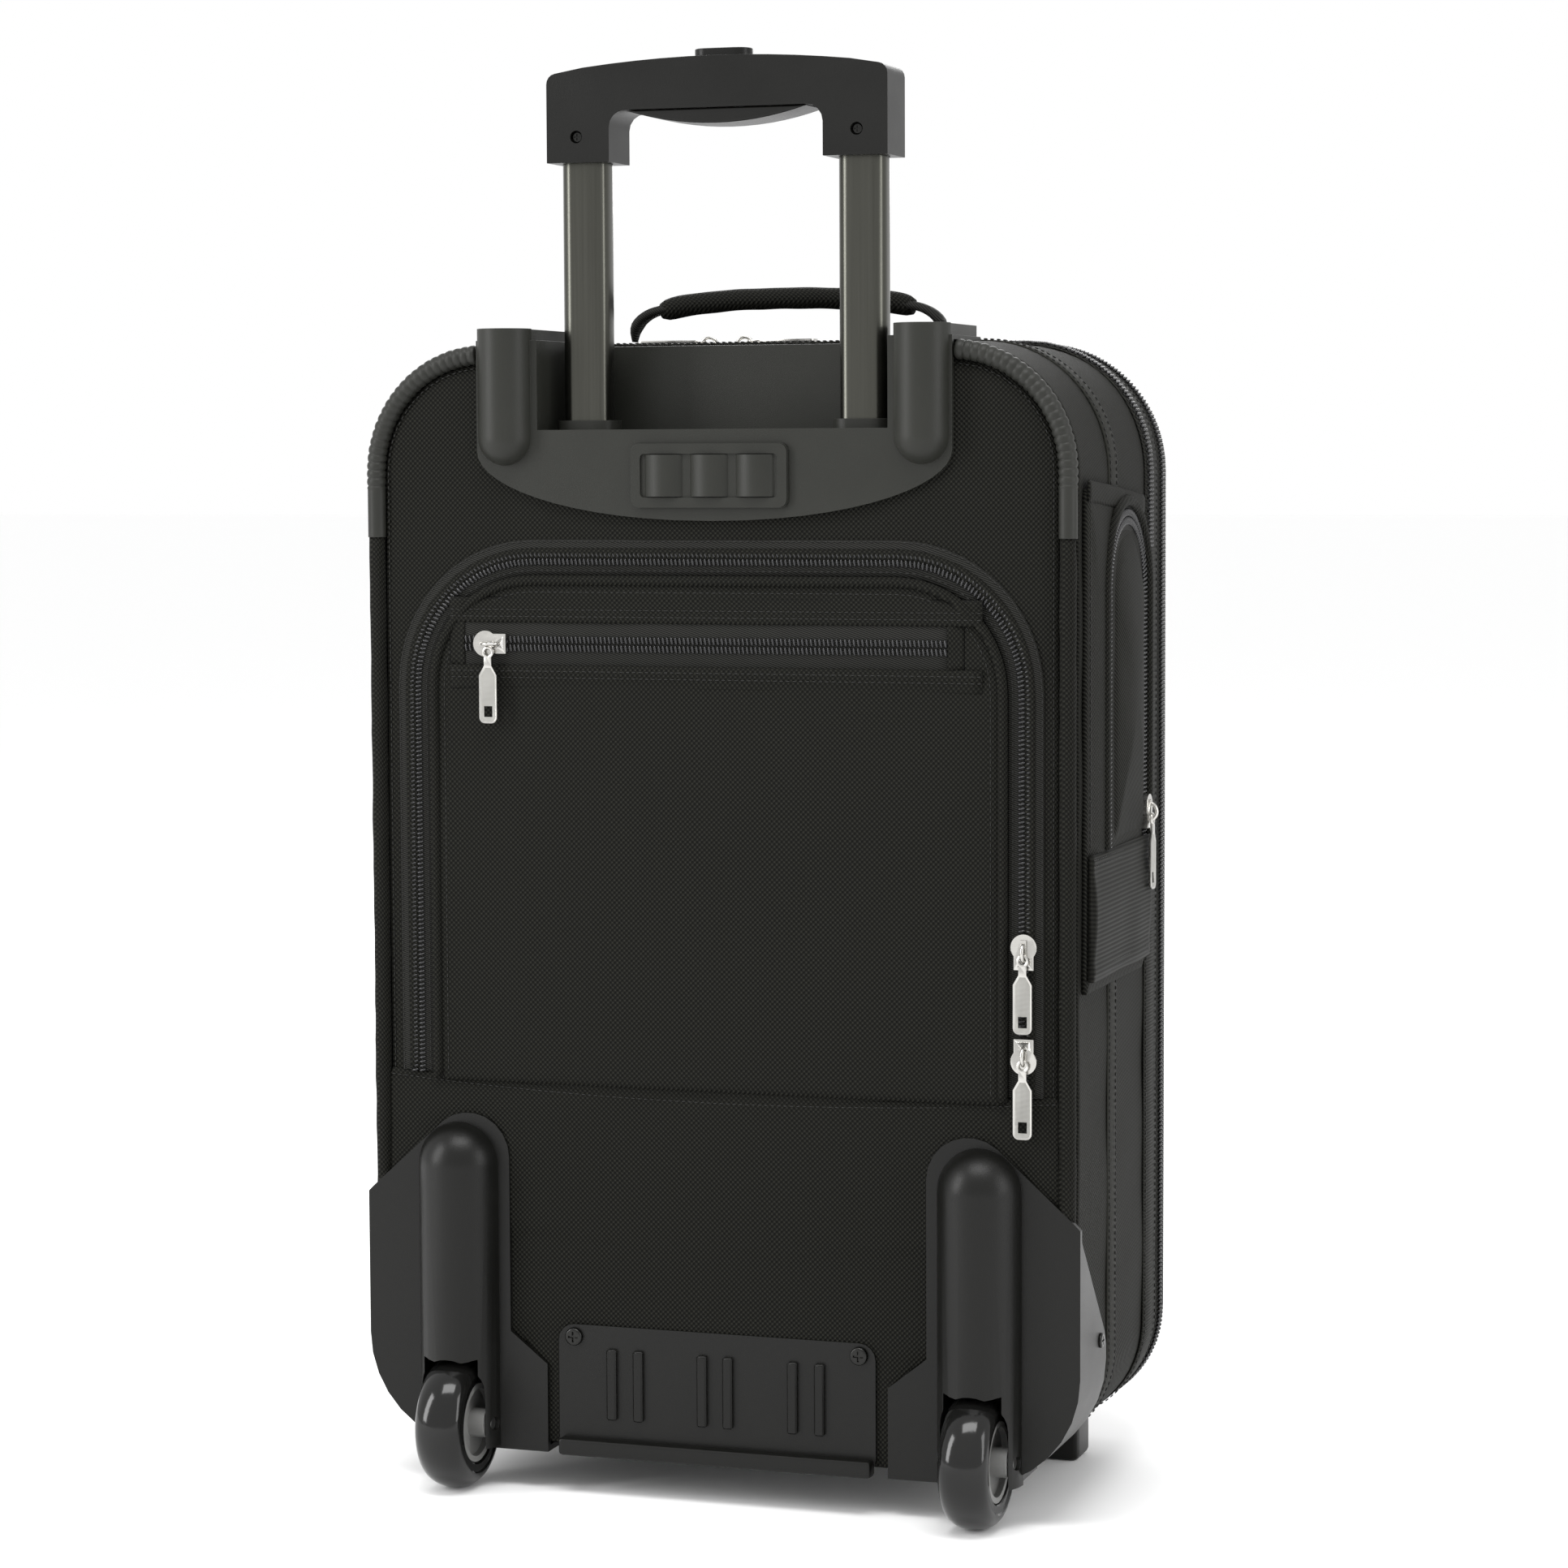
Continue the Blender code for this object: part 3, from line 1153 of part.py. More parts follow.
def facing(outward, hang):
    """Turn for a slider drawn with its face to -Y and its pull down -Z."""
    outward, hang = Vector(outward), Vector(hang)
    across = outward.cross(hang)
    return Matrix((across, -outward, -hang)).transposed().to_4x4()


def build_slider(name, place, outward=(0, -1, 0), hang=(0, 0, -1)):
    """A zip slider with its bail, and the pull that swings on it.

    place is the point of the zip's surface under the slider's middle.
    """
    turn = Matrix.Translation(Vector(place) + GAP * Vector(outward)) @ facing(outward, hang)
    half = SLIDER_WIDTH / 2
    body = block(
        f"{name}_slider", (-half, -SLIDER_THICKNESS, -SLIDER_LENGTH / 2), (half, 0, SLIDER_LENGTH / 2)
    )
    round_edges(body, SLIDER_EDGE_R, 1)
    bail = (-BAIL_RISE, -BAIL_DROP)
    for sign in (-1, 1):
        low, high = sorted((sign * half, sign * (half - BAIL_POST)))
        post = block(
            f"{name}_post_{'a' if sign < 0 else 'b'}", (low, bail[0] - BAIL_POST, bail[1] - BAIL_POST),
            (high, -SLIDER_THICKNESS / 2, bail[1] + BAIL_POST),
        )
        post.location.x -= sign * GAP
        place_local(post, turn)
        join(body, post)
    bar = rod(f"{name}_bail", (-half + GAP * 2, *bail), (half - GAP * 2, *bail), BAIL_R, 12)
    place_local(bar, turn)
    join(body, bar)
    place_local(body, turn)
    as_part(body, NICKEL)

    hinge = turn @ Matrix.Translation((0.0, *bail))
    clear = half - BAIL_POST - 3 * GAP
    barrel = [arc(0, 0, PULL_BARREL_R, 0, 342, 19), arc(0, 0, PULL_EYE_R, 0, 330, 11)]
    pull = plate(f"{name}_pull", barrel, 2 * clear, (0, 0, 0), "YZ")
    place_mesh(pull)
    wide = PULL_WIDTH / 2
    neck = PULL_BARREL_R + PULL_NECK
    corner = PULL_CORNER_R
    tab = (
        [(clear * 0.8, -PULL_BARREL_R * 0.8), (clear * 0.8, -neck), (wide, -neck - PULL_FLARE)]
        + arc(wide - corner, -PULL_LENGTH + corner, corner, 0, -90, 3)
    )
    tab = tab + [(-x, z) for x, z in reversed(tab)]
    eye_low = PULL_EYE_MARGIN - PULL_LENGTH
    eye = rounded(
        (-PULL_EYE_HALF_WIDTH, eye_low), (PULL_EYE_HALF_WIDTH, eye_low + PULL_EYE_HEIGHT), SLIDER_EDGE_R, 2
    )
    plate_part = plate(f"{name}_tab", [tab, eye], PULL_THICKNESS, (0, 0, 0), "XZ")
    place_mesh(plate_part)
    place_local(plate_part, hinge)
    join(pull, plate_part)
    place_local(pull, hinge)
    as_part(pull, NICKEL)


def place_mesh(part):
    """Take a part's own turn into its mesh."""
    part.data.transform(part.matrix_basis)
    part.matrix_basis = Matrix.Identity(4)


def place_local(part, turn):
    """Move a part drawn about a local point to its place."""
    part.matrix_basis = turn @ part.matrix_basis


def build_sliders():
    """Every slider with its pull, on the face of its zip."""
    flap_face = -2 * GAP - FLAP_THICKNESS - ZIP_TAPE
    build_slider("flap", (SHORT_SLIDER_X, flap_face, SHORT_ZIP_Z))
    long_x = FLAP_HALF_WIDTH + LONG_ZIP_OFFSET
    long_face = -GAP - LONG_ZIP_THICKNESS
    build_slider("back_pocket_upper", (long_x, long_face, LONG_SLIDER_UPPER_Z))
    build_slider("back_pocket_lower", (long_x, long_face, LONG_SLIDER_LOWER_Z))
    side_face = CASE_HALF_WIDTH + 2 * GAP + SIDE_POCKET_THICKNESS + ZIP_TAPE
    build_slider("side_pocket", (side_face, SIDE_ZIP_Y + SIDE_ZIP_R, SIDE_SLIDER_Z), outward=(1, 0, 0))
    main_y = BODY_DEPTH + GAP + ZIP_BAND / 2
    main_top = CASE_TOP + ZIP_PROUD
    build_slider("main_left", (MAIN_SLIDER_LEFT_X, main_y, main_top), outward=(0, 0, 1), hang=(-1, 0, 0))
    build_slider("main_right", (MAIN_SLIDER_RIGHT_X, main_y, main_top), outward=(0, 0, 1), hang=(1, 0, 0))
    lid_z = LID_POCKET_HIGH - LID_SLIDER_DROP
    build_slider("lid_pocket", (LID_SLIDER_X, LID_POCKET_FACE, lid_z), outward=(0, 1, 0))


build_gusset()
build_back_panel()
build_piping()
build_top_housing()
build_badge()
build_guides()
build_trolley_tubes()
build_grip()
build_button()
for side_name, side_sign in SIDES:
    build_wheel_housing(side_name, side_sign)
    build_wheel(side_name, side_sign)
build_kick_plate()
build_feet()
build_back_pocket()
build_side_pocket()
build_lid()
build_carry_handle()
build_sliders()
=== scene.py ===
import math

import bmesh
import bpy
import numpy as np
from mathutils import Matrix, Vector, noise
from mathutils.bvhtree import BVHTree


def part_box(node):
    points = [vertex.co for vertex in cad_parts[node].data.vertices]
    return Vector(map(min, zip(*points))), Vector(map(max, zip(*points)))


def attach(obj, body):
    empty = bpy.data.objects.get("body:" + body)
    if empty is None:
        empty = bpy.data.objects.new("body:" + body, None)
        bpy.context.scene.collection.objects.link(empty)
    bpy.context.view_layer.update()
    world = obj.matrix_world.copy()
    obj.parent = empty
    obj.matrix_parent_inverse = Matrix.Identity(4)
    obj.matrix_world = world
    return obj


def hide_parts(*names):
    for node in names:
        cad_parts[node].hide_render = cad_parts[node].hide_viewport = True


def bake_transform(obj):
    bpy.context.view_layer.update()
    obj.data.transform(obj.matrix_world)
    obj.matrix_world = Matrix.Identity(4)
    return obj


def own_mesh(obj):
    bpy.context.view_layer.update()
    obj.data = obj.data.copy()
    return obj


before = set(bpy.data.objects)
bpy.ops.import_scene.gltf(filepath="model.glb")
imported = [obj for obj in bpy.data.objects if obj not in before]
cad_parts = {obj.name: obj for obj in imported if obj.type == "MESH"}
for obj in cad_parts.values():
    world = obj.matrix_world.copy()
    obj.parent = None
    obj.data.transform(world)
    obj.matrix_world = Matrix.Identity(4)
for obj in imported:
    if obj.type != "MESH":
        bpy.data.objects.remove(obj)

scene = bpy.context.scene
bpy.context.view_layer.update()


# ---------------------------------------------------------------- studio
# A pale floor, four softboxes round the case, and a camera that looks at the trolley side
# from a little to its right.

def only(piece):
    """Select one piece and nothing else."""
    bpy.ops.object.select_all(action="DESELECT")
    piece.select_set(True)
    bpy.context.view_layer.objects.active = piece


def softbox(name, place, target, size, power):
    """A rectangular light aimed at a point."""
    lamp = bpy.data.lights.new(name, "AREA")
    lamp.shape = "RECTANGLE"
    lamp.size, lamp.size_y = size
    lamp.energy = power
    box = bpy.data.objects.new(name, lamp)
    box.location = place
    box.rotation_mode = "QUATERNION"
    box.rotation_quaternion = (Vector(target) - Vector(place)).to_track_quat("-Z", "Y")
    scene.collection.objects.link(box)


def finish_of(name, colour, roughness, metallic=0.0, sockets=None):
    """A new Principled finish, with its tree and shader."""
    material = bpy.data.materials.new(name)
    material.use_nodes = True
    tree = material.node_tree
    shader = tree.nodes["Principled BSDF"]
    shader.inputs["Base Color"].default_value = (*colour, 1.0)
    shader.inputs["Roughness"].default_value = roughness
    shader.inputs["Metallic"].default_value = metallic
    for socket, value in (sockets or {}).items():
        shader.inputs[socket].default_value = value
    return material, tree, shader


CAMERA_PLACE = (0.63813, -1.8796, 0.5000)
CAMERA_YAW = 0.323422
CAMERA_PITCH = -0.081057
CAMERA_ROLL = -0.004514
CAMERA_LENS = 93.17

camera = bpy.data.objects.new("camera", bpy.data.cameras.new("camera"))
camera.data.lens = CAMERA_LENS
camera.data.sensor_width = 36.0
camera.location = CAMERA_PLACE
level = Matrix.Rotation(CAMERA_YAW, 4, "Z") @ Matrix.Rotation(math.pi / 2 + CAMERA_PITCH, 4, "X")
camera.rotation_mode = "QUATERNION"
camera.rotation_quaternion = (level @ Matrix.Rotation(CAMERA_ROLL, 4, "Z")).to_quaternion()
scene.collection.objects.link(camera)
scene.camera = camera

softbox("key_left", (-1.9, -1.5, 1.1), (0.0, 0.0, 0.30), (0.6, 1.8), 34)
softbox("side_right", (2.3, -0.5, 0.9), (0.1, 0.0, 0.30), (0.6, 1.6), 15)
softbox("overhead", (0.2, -0.9, 2.3), (0.0, 0.0, 0.40), (1.6, 0.7), 30)
softbox("front_fill", (-0.6, 2.2, 1.4), (0.0, 0.0, 0.30), (1.4, 1.4), 20)

scene.view_settings.view_transform = "Standard"
world = bpy.data.worlds.new("studio")
world.use_nodes = True
backdrop = world.node_tree.nodes["Background"]
backdrop.inputs["Color"].default_value = (1.0, 1.0, 1.0, 1.0)
backdrop.inputs["Strength"].default_value = 1.0
scene.world = world

bpy.ops.mesh.primitive_plane_add(size=60.0)
floor = bpy.context.object
floor.name = "studio_floor"
floor.data.materials.append(finish_of("floor_paper", (0.985, 0.985, 0.985), 0.8)[0])


# ---------------------------------------------------------------- back cover
# Ballistic nylon stretched over foam and board, sewn into the piping all round.
# Basket weave of coarse yarn, dull, with a little sheen where it turns away; the yarn crowns are painted
# lighter as highlight and the gaps between them darker as shade.

def feed(tree, socket, value):
    """Set a socket, or link it when the value is another node's output."""
    if isinstance(value, bpy.types.NodeSocket):
        tree.links.new(value, socket)
    else:
        socket.default_value = value


def calc(tree, operation, *values):
    """One step of arithmetic on a pattern."""
    step = tree.nodes.new("ShaderNodeMath")
    step.operation = operation
    for socket, value in zip(step.inputs, values):
        feed(tree, socket, value)
    return step.outputs[0]


def grain(tree, place, scale, detail=2.0):
    """Uneven grain, 0 to 1."""
    step = tree.nodes.new("ShaderNodeTexNoise")
    feed(tree, step.inputs["Vector"], place)
    step.inputs["Scale"].default_value = scale
    step.inputs["Detail"].default_value = detail
    return step.outputs["Fac"]


def between(tree, share, first, second):
    """A colour part of the way from one to another."""
    step = tree.nodes.new("ShaderNodeMix")
    step.data_type = "RGBA"
    feed(tree, step.inputs["Factor"], share)
    for socket, colour in zip((step.inputs[6], step.inputs[7]), (first, second)):
        feed(tree, socket, colour if isinstance(colour, bpy.types.NodeSocket) else (*colour, 1.0))
    return step.outputs[2]


def raise_by(tree, shader, height, depth):
    """Give a finish the relief of a pattern, depth in metres."""
    step = tree.nodes.new("ShaderNodeBump")
    step.inputs["Strength"].default_value = 1.0
    step.inputs["Distance"].default_value = depth
    tree.links.new(height, step.inputs["Height"])
    tree.links.new(step.outputs["Normal"], shader.inputs["Normal"])


def own_place(tree):
    """Where a point lies, in its piece's own coordinates."""
    return tree.nodes.new("ShaderNodeTexCoord").outputs["Object"]


def parted(tree, place):
    """A place's X, Y and Z."""
    split = tree.nodes.new("ShaderNodeSeparateXYZ")
    tree.links.new(place, split.inputs[0])
    return split.outputs


def scaled(colour, share):
    return tuple(channel * share for channel in colour)


def cloth_finish(name, colour, pitch, twill=False, depth=0.0004):
    """Woven nylon: yarns cross in a basket, or run in slanting ribs, with painted highlight on the yarn
    crowns and painted shade in the gaps between them.
    """
    material, tree, shader = finish_of(
        name, colour, 0.66, 0.0, {"Sheen Weight": 0.01, "Sheen Roughness": 0.4, "Specular IOR Level": 0.08}
    )
    place = own_place(tree)
    axes = parted(tree, place)
    along = calc(tree, "ADD", axes["X"], axes["Y"])
    up = calc(tree, "MULTIPLY_ADD", axes["Y"], 0.62, axes["Z"])
    turn = 2 * math.pi / pitch
    warp = calc(tree, "SINE", calc(tree, "MULTIPLY", along, turn))
    weft = calc(tree, "SINE", calc(tree, "MULTIPLY", up, turn))
    if twill:
        slant = calc(tree, "MULTIPLY_ADD", along, 0.35, up)
        rib = calc(tree, "SINE", calc(tree, "MULTIPLY", slant, turn))
        cross = calc(tree, "MULTIPLY", calc(tree, "MULTIPLY", warp, weft), 0.25)
        yarn = calc(tree, "MULTIPLY_ADD", calc(tree, "ADD", rib, cross), 0.4, 0.5)
    else:
        yarn = calc(tree, "MULTIPLY_ADD", calc(tree, "MULTIPLY", warp, weft), 0.5, 0.5)
    lint = grain(tree, place, 1400.0)
    wear = grain(tree, place, 9.0, 3.0)
    worn = between(tree, wear, scaled(colour, 0.85), scaled(colour, 1.2))
    # painted light: the yarn crowns are painted up to 4.4 times the cloth's colour as highlight, and the gaps
    # between yarns down to 0.22 times as shade
    crown = calc(tree, "POWER", yarn, 2.0)
    painted_weave_light_shade = between(tree, crown, scaled(colour, 0.22), scaled(colour, 4.4))
    tree.links.new(between(tree, 0.78, worn, painted_weave_light_shade), shader.inputs["Base Color"])
    raise_by(tree, shader, calc(tree, "MULTIPLY_ADD", lint, 0.18, yarn), depth)
    return material


def walk(path, pitch, closed=False):
    """Even places along a path, with the direction of travel at each."""
    path = np.array([tuple(place) for place in path], float)
    if closed:
        path = np.vstack([path, path[:1]])
    length = np.concatenate([[0.0], np.cumsum(np.linalg.norm(np.diff(path, axis=0), axis=1))])
    count = max(2, round(length[-1] / pitch))
    stops = np.linspace(0.0, length[-1], count + 1)
    if closed:
        stops = stops[:-1]
    places = np.stack([np.interp(stops, length, path[:, axis]) for axis in range(path.shape[1])], axis=1)
    if closed:
        heading = np.roll(places, -1, axis=0) - np.roll(places, 1, axis=0)
    else:
        heading = np.gradient(places, axis=0)
    return places, heading / np.linalg.norm(heading, axis=1)[:, None]


def arc(across, up, radius, start, end, steps=10):
    """Points of an arc in a plane, angles in degrees."""
    angles = [math.radians(start + (end - start) * i / steps) for i in range(steps + 1)]
    return [(across + radius * math.cos(a), up + radius * math.sin(a)) for a in angles]


def facing(side, depth):
    """From (along, up, out) on a wall to the case's own axes."""
    rows = {
        "back": ((1, 0, 0, 0), (0, 0, -1, depth), (0, 1, 0, 0)),
        "front": ((-1, 0, 0, 0), (0, 0, 1, depth), (0, 1, 0, 0)),
        "right": ((0, 0, 1, depth), (1, 0, 0, 0), (0, 1, 0, 0)),
        "top": ((1, 0, 0, 0), (0, 1, 0, 0), (0, 0, 1, depth)),
    }[side]
    return Matrix((*rows, (0, 0, 0, 1)))


def ringed(name, outline, profile, wall, centre, pitch=0.006):
    """A panel in rings. The profile gives each ring's share of the outline and its height."""
    outline, _ = walk(outline, pitch, closed=True)
    shape = bmesh.new()
    rings = []
    for share, height in profile:
        if share == 0:
            rings.append([shape.verts.new(wall @ Vector((*centre, height)))])
            continue
        rings.append([
            shape.verts.new(wall @ Vector((
                centre[0] + share * (u - centre[0]), centre[1] + share * (v - centre[1]), height,
            ))) for u, v in outline
        ])
    for inner, outer in zip(rings, rings[1:]):
        for index in range(len(outline)):
            following = (index + 1) % len(outline)
            if len(inner) == 1:
                shape.faces.new((inner[0], outer[index], outer[following]))
            elif len(outer) == 1:
                shape.faces.new((inner[following], inner[index], outer[0]))
            else:
                shape.faces.new((inner[following], inner[index], outer[index], outer[following]))
    return made(name, shape)


def made(name, shape):
    """Turn a shape into a smooth piece at the origin."""
    bmesh.ops.recalc_face_normals(shape, faces=shape.faces)
    mesh = bpy.data.meshes.new(name)
    shape.to_mesh(mesh)
    shape.free()
    mesh.shade_smooth()
    piece = bpy.data.objects.new(name, mesh)
    scene.collection.objects.link(piece)
    return piece


def ripple(piece, amount, size, seed=0.0):
    """Let fabric wander off its flat, by a smooth random amount along its normals."""
    normals = [vertex.normal.copy() for vertex in piece.data.vertices]
    for vertex, normal in zip(piece.data.vertices, normals):
        wander = noise.noise(vertex.co / size + Vector((seed, seed, seed)))
        vertex.co += normal * amount * wander


def dress(piece, finish, body="case", replaces=()):
    """Give a piece its finish and the body it rides on, and hide the CAD nodes that it stands for."""
    coats = list(finish) if isinstance(finish, (list, tuple)) else [finish]
    if len(piece.data.materials) != len(coats):
        piece.data.materials.clear()
        for coat in coats:
            piece.data.materials.append(None)
    for slot_number, coat in enumerate(coats):
        piece.data.materials[slot_number] = coat
    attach(piece, body)
    if replaces:
        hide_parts(*replaces)
    return piece


def apply_modifiers(piece):
    only(piece)
    for step in list(piece.modifiers):
        bpy.ops.object.modifier_apply(modifier=step.name)


def thicken(piece, thickness, outward=None, inner_finish=0):
    """Give a skin its wall, inwards, with the lining's finish on the inner side."""
    lean = 0.0
    for face in piece.data.polygons:
        away = outward or (face.center.x, 0, face.center.z - CASE_MIDDLE)
        lean += face.area * face.normal.dot(Vector(away))
    if lean < 0:
        piece.data.flip_normals()
    for _ in range(inner_finish + 1):
        piece.data.materials.append(lining)
    step = piece.modifiers.new("wall", "SOLIDIFY")
    step.thickness = thickness
    step.offset = -1.0
    step.material_offset = inner_finish
    apply_modifiers(piece)


def crowned(steps, height, rise):
    """The inner rings of a panel: from its edge in, the last one at its middle."""
    return [(ring / steps, height + rise * (1 - (ring / steps) ** 2)) for ring in range(steps - 1, -1, -1)]


NYLON = (0.0056, 0.0056, 0.0045)
back_nylon = cloth_finish("ballistic_nylon", NYLON, 0.0024, depth=0.0005)
side_nylon = cloth_finish("ribbed_nylon", (0.0062, 0.0062, 0.0051), 0.0020, twill=True, depth=0.0004)
lining = cloth_finish("grey_lining", (0.045, 0.045, 0.043), 0.0010, depth=0.0001)

wall_low, wall_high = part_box("gusset")
HALF_WIDTH, CASE_TOP, CASE_BOTTOM = wall_high.x, wall_high.z, wall_low.z
CASE_MIDDLE = (CASE_TOP + CASE_BOTTOM) / 2
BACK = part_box("back_panel")[0].y
TOP_CORNER_R = 0.060
BOTTOM_CORNER_R = 0.050
COVER_HALF = 0.1685
COVER_CORNER_R = TOP_CORNER_R - HALF_WIDTH + COVER_HALF
COVER_TOP = 0.5445
COVER_FOOT = CASE_BOTTOM + 0.0015
NOTCH = (0.095, 0.507)
FLANGE_HIDES = ((COVER_HALF, 0.140), (0.112, 0.125), (0.112, 0.080), (0.095, 0.070), (0.095, COVER_FOOT))


def mirrored(right):
    """A closed outline from its right half, drawn from the foot upwards."""
    return right + [(-u, v) for u, v in reversed(right)]


cover_right = list(reversed(FLANGE_HIDES)) + arc(
    COVER_HALF - COVER_CORNER_R, COVER_TOP - COVER_CORNER_R, COVER_CORNER_R, 0, 90
) + [NOTCH]
cover_profile = [(1.0, -0.0060), (1.0, -0.0035), (0.994, -0.0012), (0.985, -0.0002)]
cover_profile += crowned(16, 0.0, 0.0012)
back_cover = ringed(
    "back_cover", mirrored(cover_right), cover_profile, facing("back", BACK), (0.0, 0.27), 0.005
)
ripple(back_cover, 0.0008, 0.07)
thicken(back_cover, 0.0022, (0, -1, 0), inner_finish=1)
dress(back_cover, [back_nylon, lining], replaces=["back_panel"])

# ---------------------------------------------------------------- stitching
# Bonded black thread, each stitch a short hump that dips into the cloth at both ends.

STITCH_LENGTH = 0.0024
STITCH_PITCH = 0.0032
THREAD = 0.00045


def bead(name, size, segments=8, rings=5):
    """A small rounded bead, modelled once and copied along a seam or a zip."""
    bpy.ops.object.select_all(action="DESELECT")
    bpy.ops.mesh.primitive_uv_sphere_add(segments=segments, ring_count=rings, radius=0.5)
    piece = bpy.context.object
    piece.name = name
    piece.data.transform(Matrix.Diagonal((*size, 1.0)))
    return piece


def copied_along(name, unit, path, pitch, closed=False, outward=None, across=None, slide=0.0):
    """Copies of a unit along a path: its X follows the path and its Z faces outwards."""
    places, heading = walk(path, pitch, closed)
    corners = np.array([vertex.co for vertex in unit.data.vertices])
    faces = [tuple(face.vertices) for face in unit.data.polygons]
    points, polygons = [], []
    for place, ahead in zip(places, heading):
        if outward is not None:
            out = np.array(outward, float)
            aside = np.cross(out, ahead)
        else:
            aside = np.array(across, float)
            out = np.cross(aside, ahead)
            aside = -aside
        out = out / np.linalg.norm(out)
        aside = aside / np.linalg.norm(aside)
        axes = np.stack([ahead, aside, out])
        start = len(points)
        points.extend(corners @ axes + place + aside * slide)
        polygons.extend(tuple(start + corner for corner in face) for face in faces)
    mesh = bpy.data.meshes.new(name)
    mesh.from_pydata([tuple(point) for point in points], [], polygons)
    mesh.shade_smooth()
    piece = bpy.data.objects.new(name, mesh)
    scene.collection.objects.link(piece)
    return piece


def grained_finish(name, colour, roughness, metallic, specular, pits, depth, mottle=None):
    """A hard finish with fine pits, and two tones in patches where it is mottled."""
    material, tree, shader = finish_of(name, colour, roughness, metallic, {"Specular IOR Level": specular})
    place = own_place(tree)
    raise_by(tree, shader, grain(tree, place, pits), depth)
    if mottle:
        patches, detail, first, second = mottle
        tone = between(tree, grain(tree, place, patches, detail), first, second)
        tree.links.new(tone, shader.inputs["Base Color"])
    return material


thread_finish = grained_finish("bonded_thread", (0.012, 0.012, 0.011), 0.5, 0.0, 0.3, 3200.0, 0.0001)
one_stitch = bead("one_stitch", (STITCH_LENGTH, THREAD * 1.3, THREAD * 1.5), 6, 4)


def stitched(name, path, outward=None, across=None, closed=False, body="case"):
    """A row of stitches."""
    row = copied_along(name, one_stitch, path, STITCH_PITCH, closed, outward, across)
    return dress(row, thread_finish, body)


def on_back(points, lift=0.0):
    """Points of the back wall, (across, up), as places in the case."""
    return [(u, BACK - lift, v) for u, v in points]


def doorway(half, low, high, corner, centre=0.0):
    """Up one straight leg, round two shoulders and down the other, from the right foot."""
    right, left = centre + half, centre - half
    return (
        [(right, low), (right, (low + high) / 2)]
        + arc(right - corner, high - corner, corner, 0, 90)
        + arc(left + corner, high - corner, corner, 90, 180)
        + [(left, (low + high) / 2), (left, low)]
    )


REAR, FRONT = (0.0, -1.0, 0.0), (0.0, 1.0, 0.0)
SIDES = (("left", -1), ("right", 1))

# ---------------------------------------------------------------- kick panel
# A second layer of the same nylon over the foot of the back, folded and topstitched along
# its upper edge, which dips a little between the wheels.

KICK_PANEL_HIGH = 0.2035
KICK_PANEL_DIP = 0.007
KICK_PANEL_LIFT = 0.0012

kick_edge = [
    (COVER_HALF * share, KICK_PANEL_HIGH - KICK_PANEL_DIP * (1 - share ** 2))
    for share in (1 - step / 8 for step in range(17))
]
kick_outline = list(reversed(FLANGE_HIDES)) + kick_edge + [(-u, v) for u, v in FLANGE_HIDES]
kick_profile = [(1.0, -0.0050), (1.0, 0.0002), (0.997, 0.0009), (0.988, KICK_PANEL_LIFT)]
kick_profile += crowned(8, KICK_PANEL_LIFT, 0.0016)
kick_panel = ringed(
    "kick_panel_cloth", kick_outline, kick_profile, facing("back", BACK), (0.0, 0.118), 0.005
)
ripple(kick_panel, 0.0007, 0.05, 3.0)
thicken(kick_panel, 0.0008, (0, -1, 0))
dress(kick_panel, back_nylon)
stitched("kick_panel_seam", [(u * 0.985, BACK - 0.0013, v - 0.0035) for u, v in kick_edge], REAR)

# ---------------------------------------------------------------- side wall
# Ribbed nylon over board round all four sides, cut away for the trolley well and the
# wheels. Sewn tapes run round it, and it is lined in grey.

def case_line(outset=0.0):
    """The case's outline seen from the back, anticlockwise from its right foot."""
    low_x, low_z = HALF_WIDTH - BOTTOM_CORNER_R, CASE_BOTTOM + BOTTOM_CORNER_R
    top_x, top_z = HALF_WIDTH - TOP_CORNER_R, CASE_TOP - TOP_CORNER_R
    return (
        arc(low_x, low_z, BOTTOM_CORNER_R + outset, -90, 0, 14)
        + arc(top_x, top_z, TOP_CORNER_R + outset, 0, 90, 14)
        + arc(-top_x, top_z, TOP_CORNER_R + outset, 90, 180, 14)
        + arc(-low_x, low_z, BOTTOM_CORNER_R + outset, 180, 270, 14)
    )


def swept(
    name, path, section, pitch, outward=None, across=None, closed=False, swell=None, open_section=False
):
    """Carry a section, (aside, out) points, along a path. swell scales it at a share of the way."""
    places, heading = walk(path, pitch, closed)
    shape = bmesh.new()
    loops = []
    for index, (place, ahead) in enumerate(zip(places, heading)):
        place, ahead = Vector(place), Vector(ahead)
        out = Vector(outward) if outward is not None else Vector(across).cross(ahead).normalized()
        aside = ahead.cross(out).normalized()
        size = swell(index / (len(places) - 1)) if swell else 1.0
        loops.append([shape.verts.new(place + aside * p * size + out * q * size) for p, q in section])
    pairs = list(zip(loops, loops[1:])) + ([(loops[-1], loops[0])] if closed else [])
    count = len(section)
    for first, second in pairs:
        for index in range(count - 1 if open_section else count):
            following = (index + 1) % count
            shape.faces.new((first[index], first[following], second[following], second[index]))
    if not closed and not open_section:
        shape.faces.new(loops[0])
        shape.faces.new(loops[-1])
    return made(name, shape)


def outline_path(line, y):
    return [(u, y, v) for u, v in line]


def cut_or_join(piece, tool, operation="DIFFERENCE"):
    """Cut a piece with a tool, or join the tool to it, and put the tool away."""
    step = piece.modifiers.new("tool", "BOOLEAN")
    step.operation = operation
    step.solver = "EXACT"
    step.object = tool
    apply_modifiers(piece)
    bpy.data.objects.remove(tool, do_unlink=True)


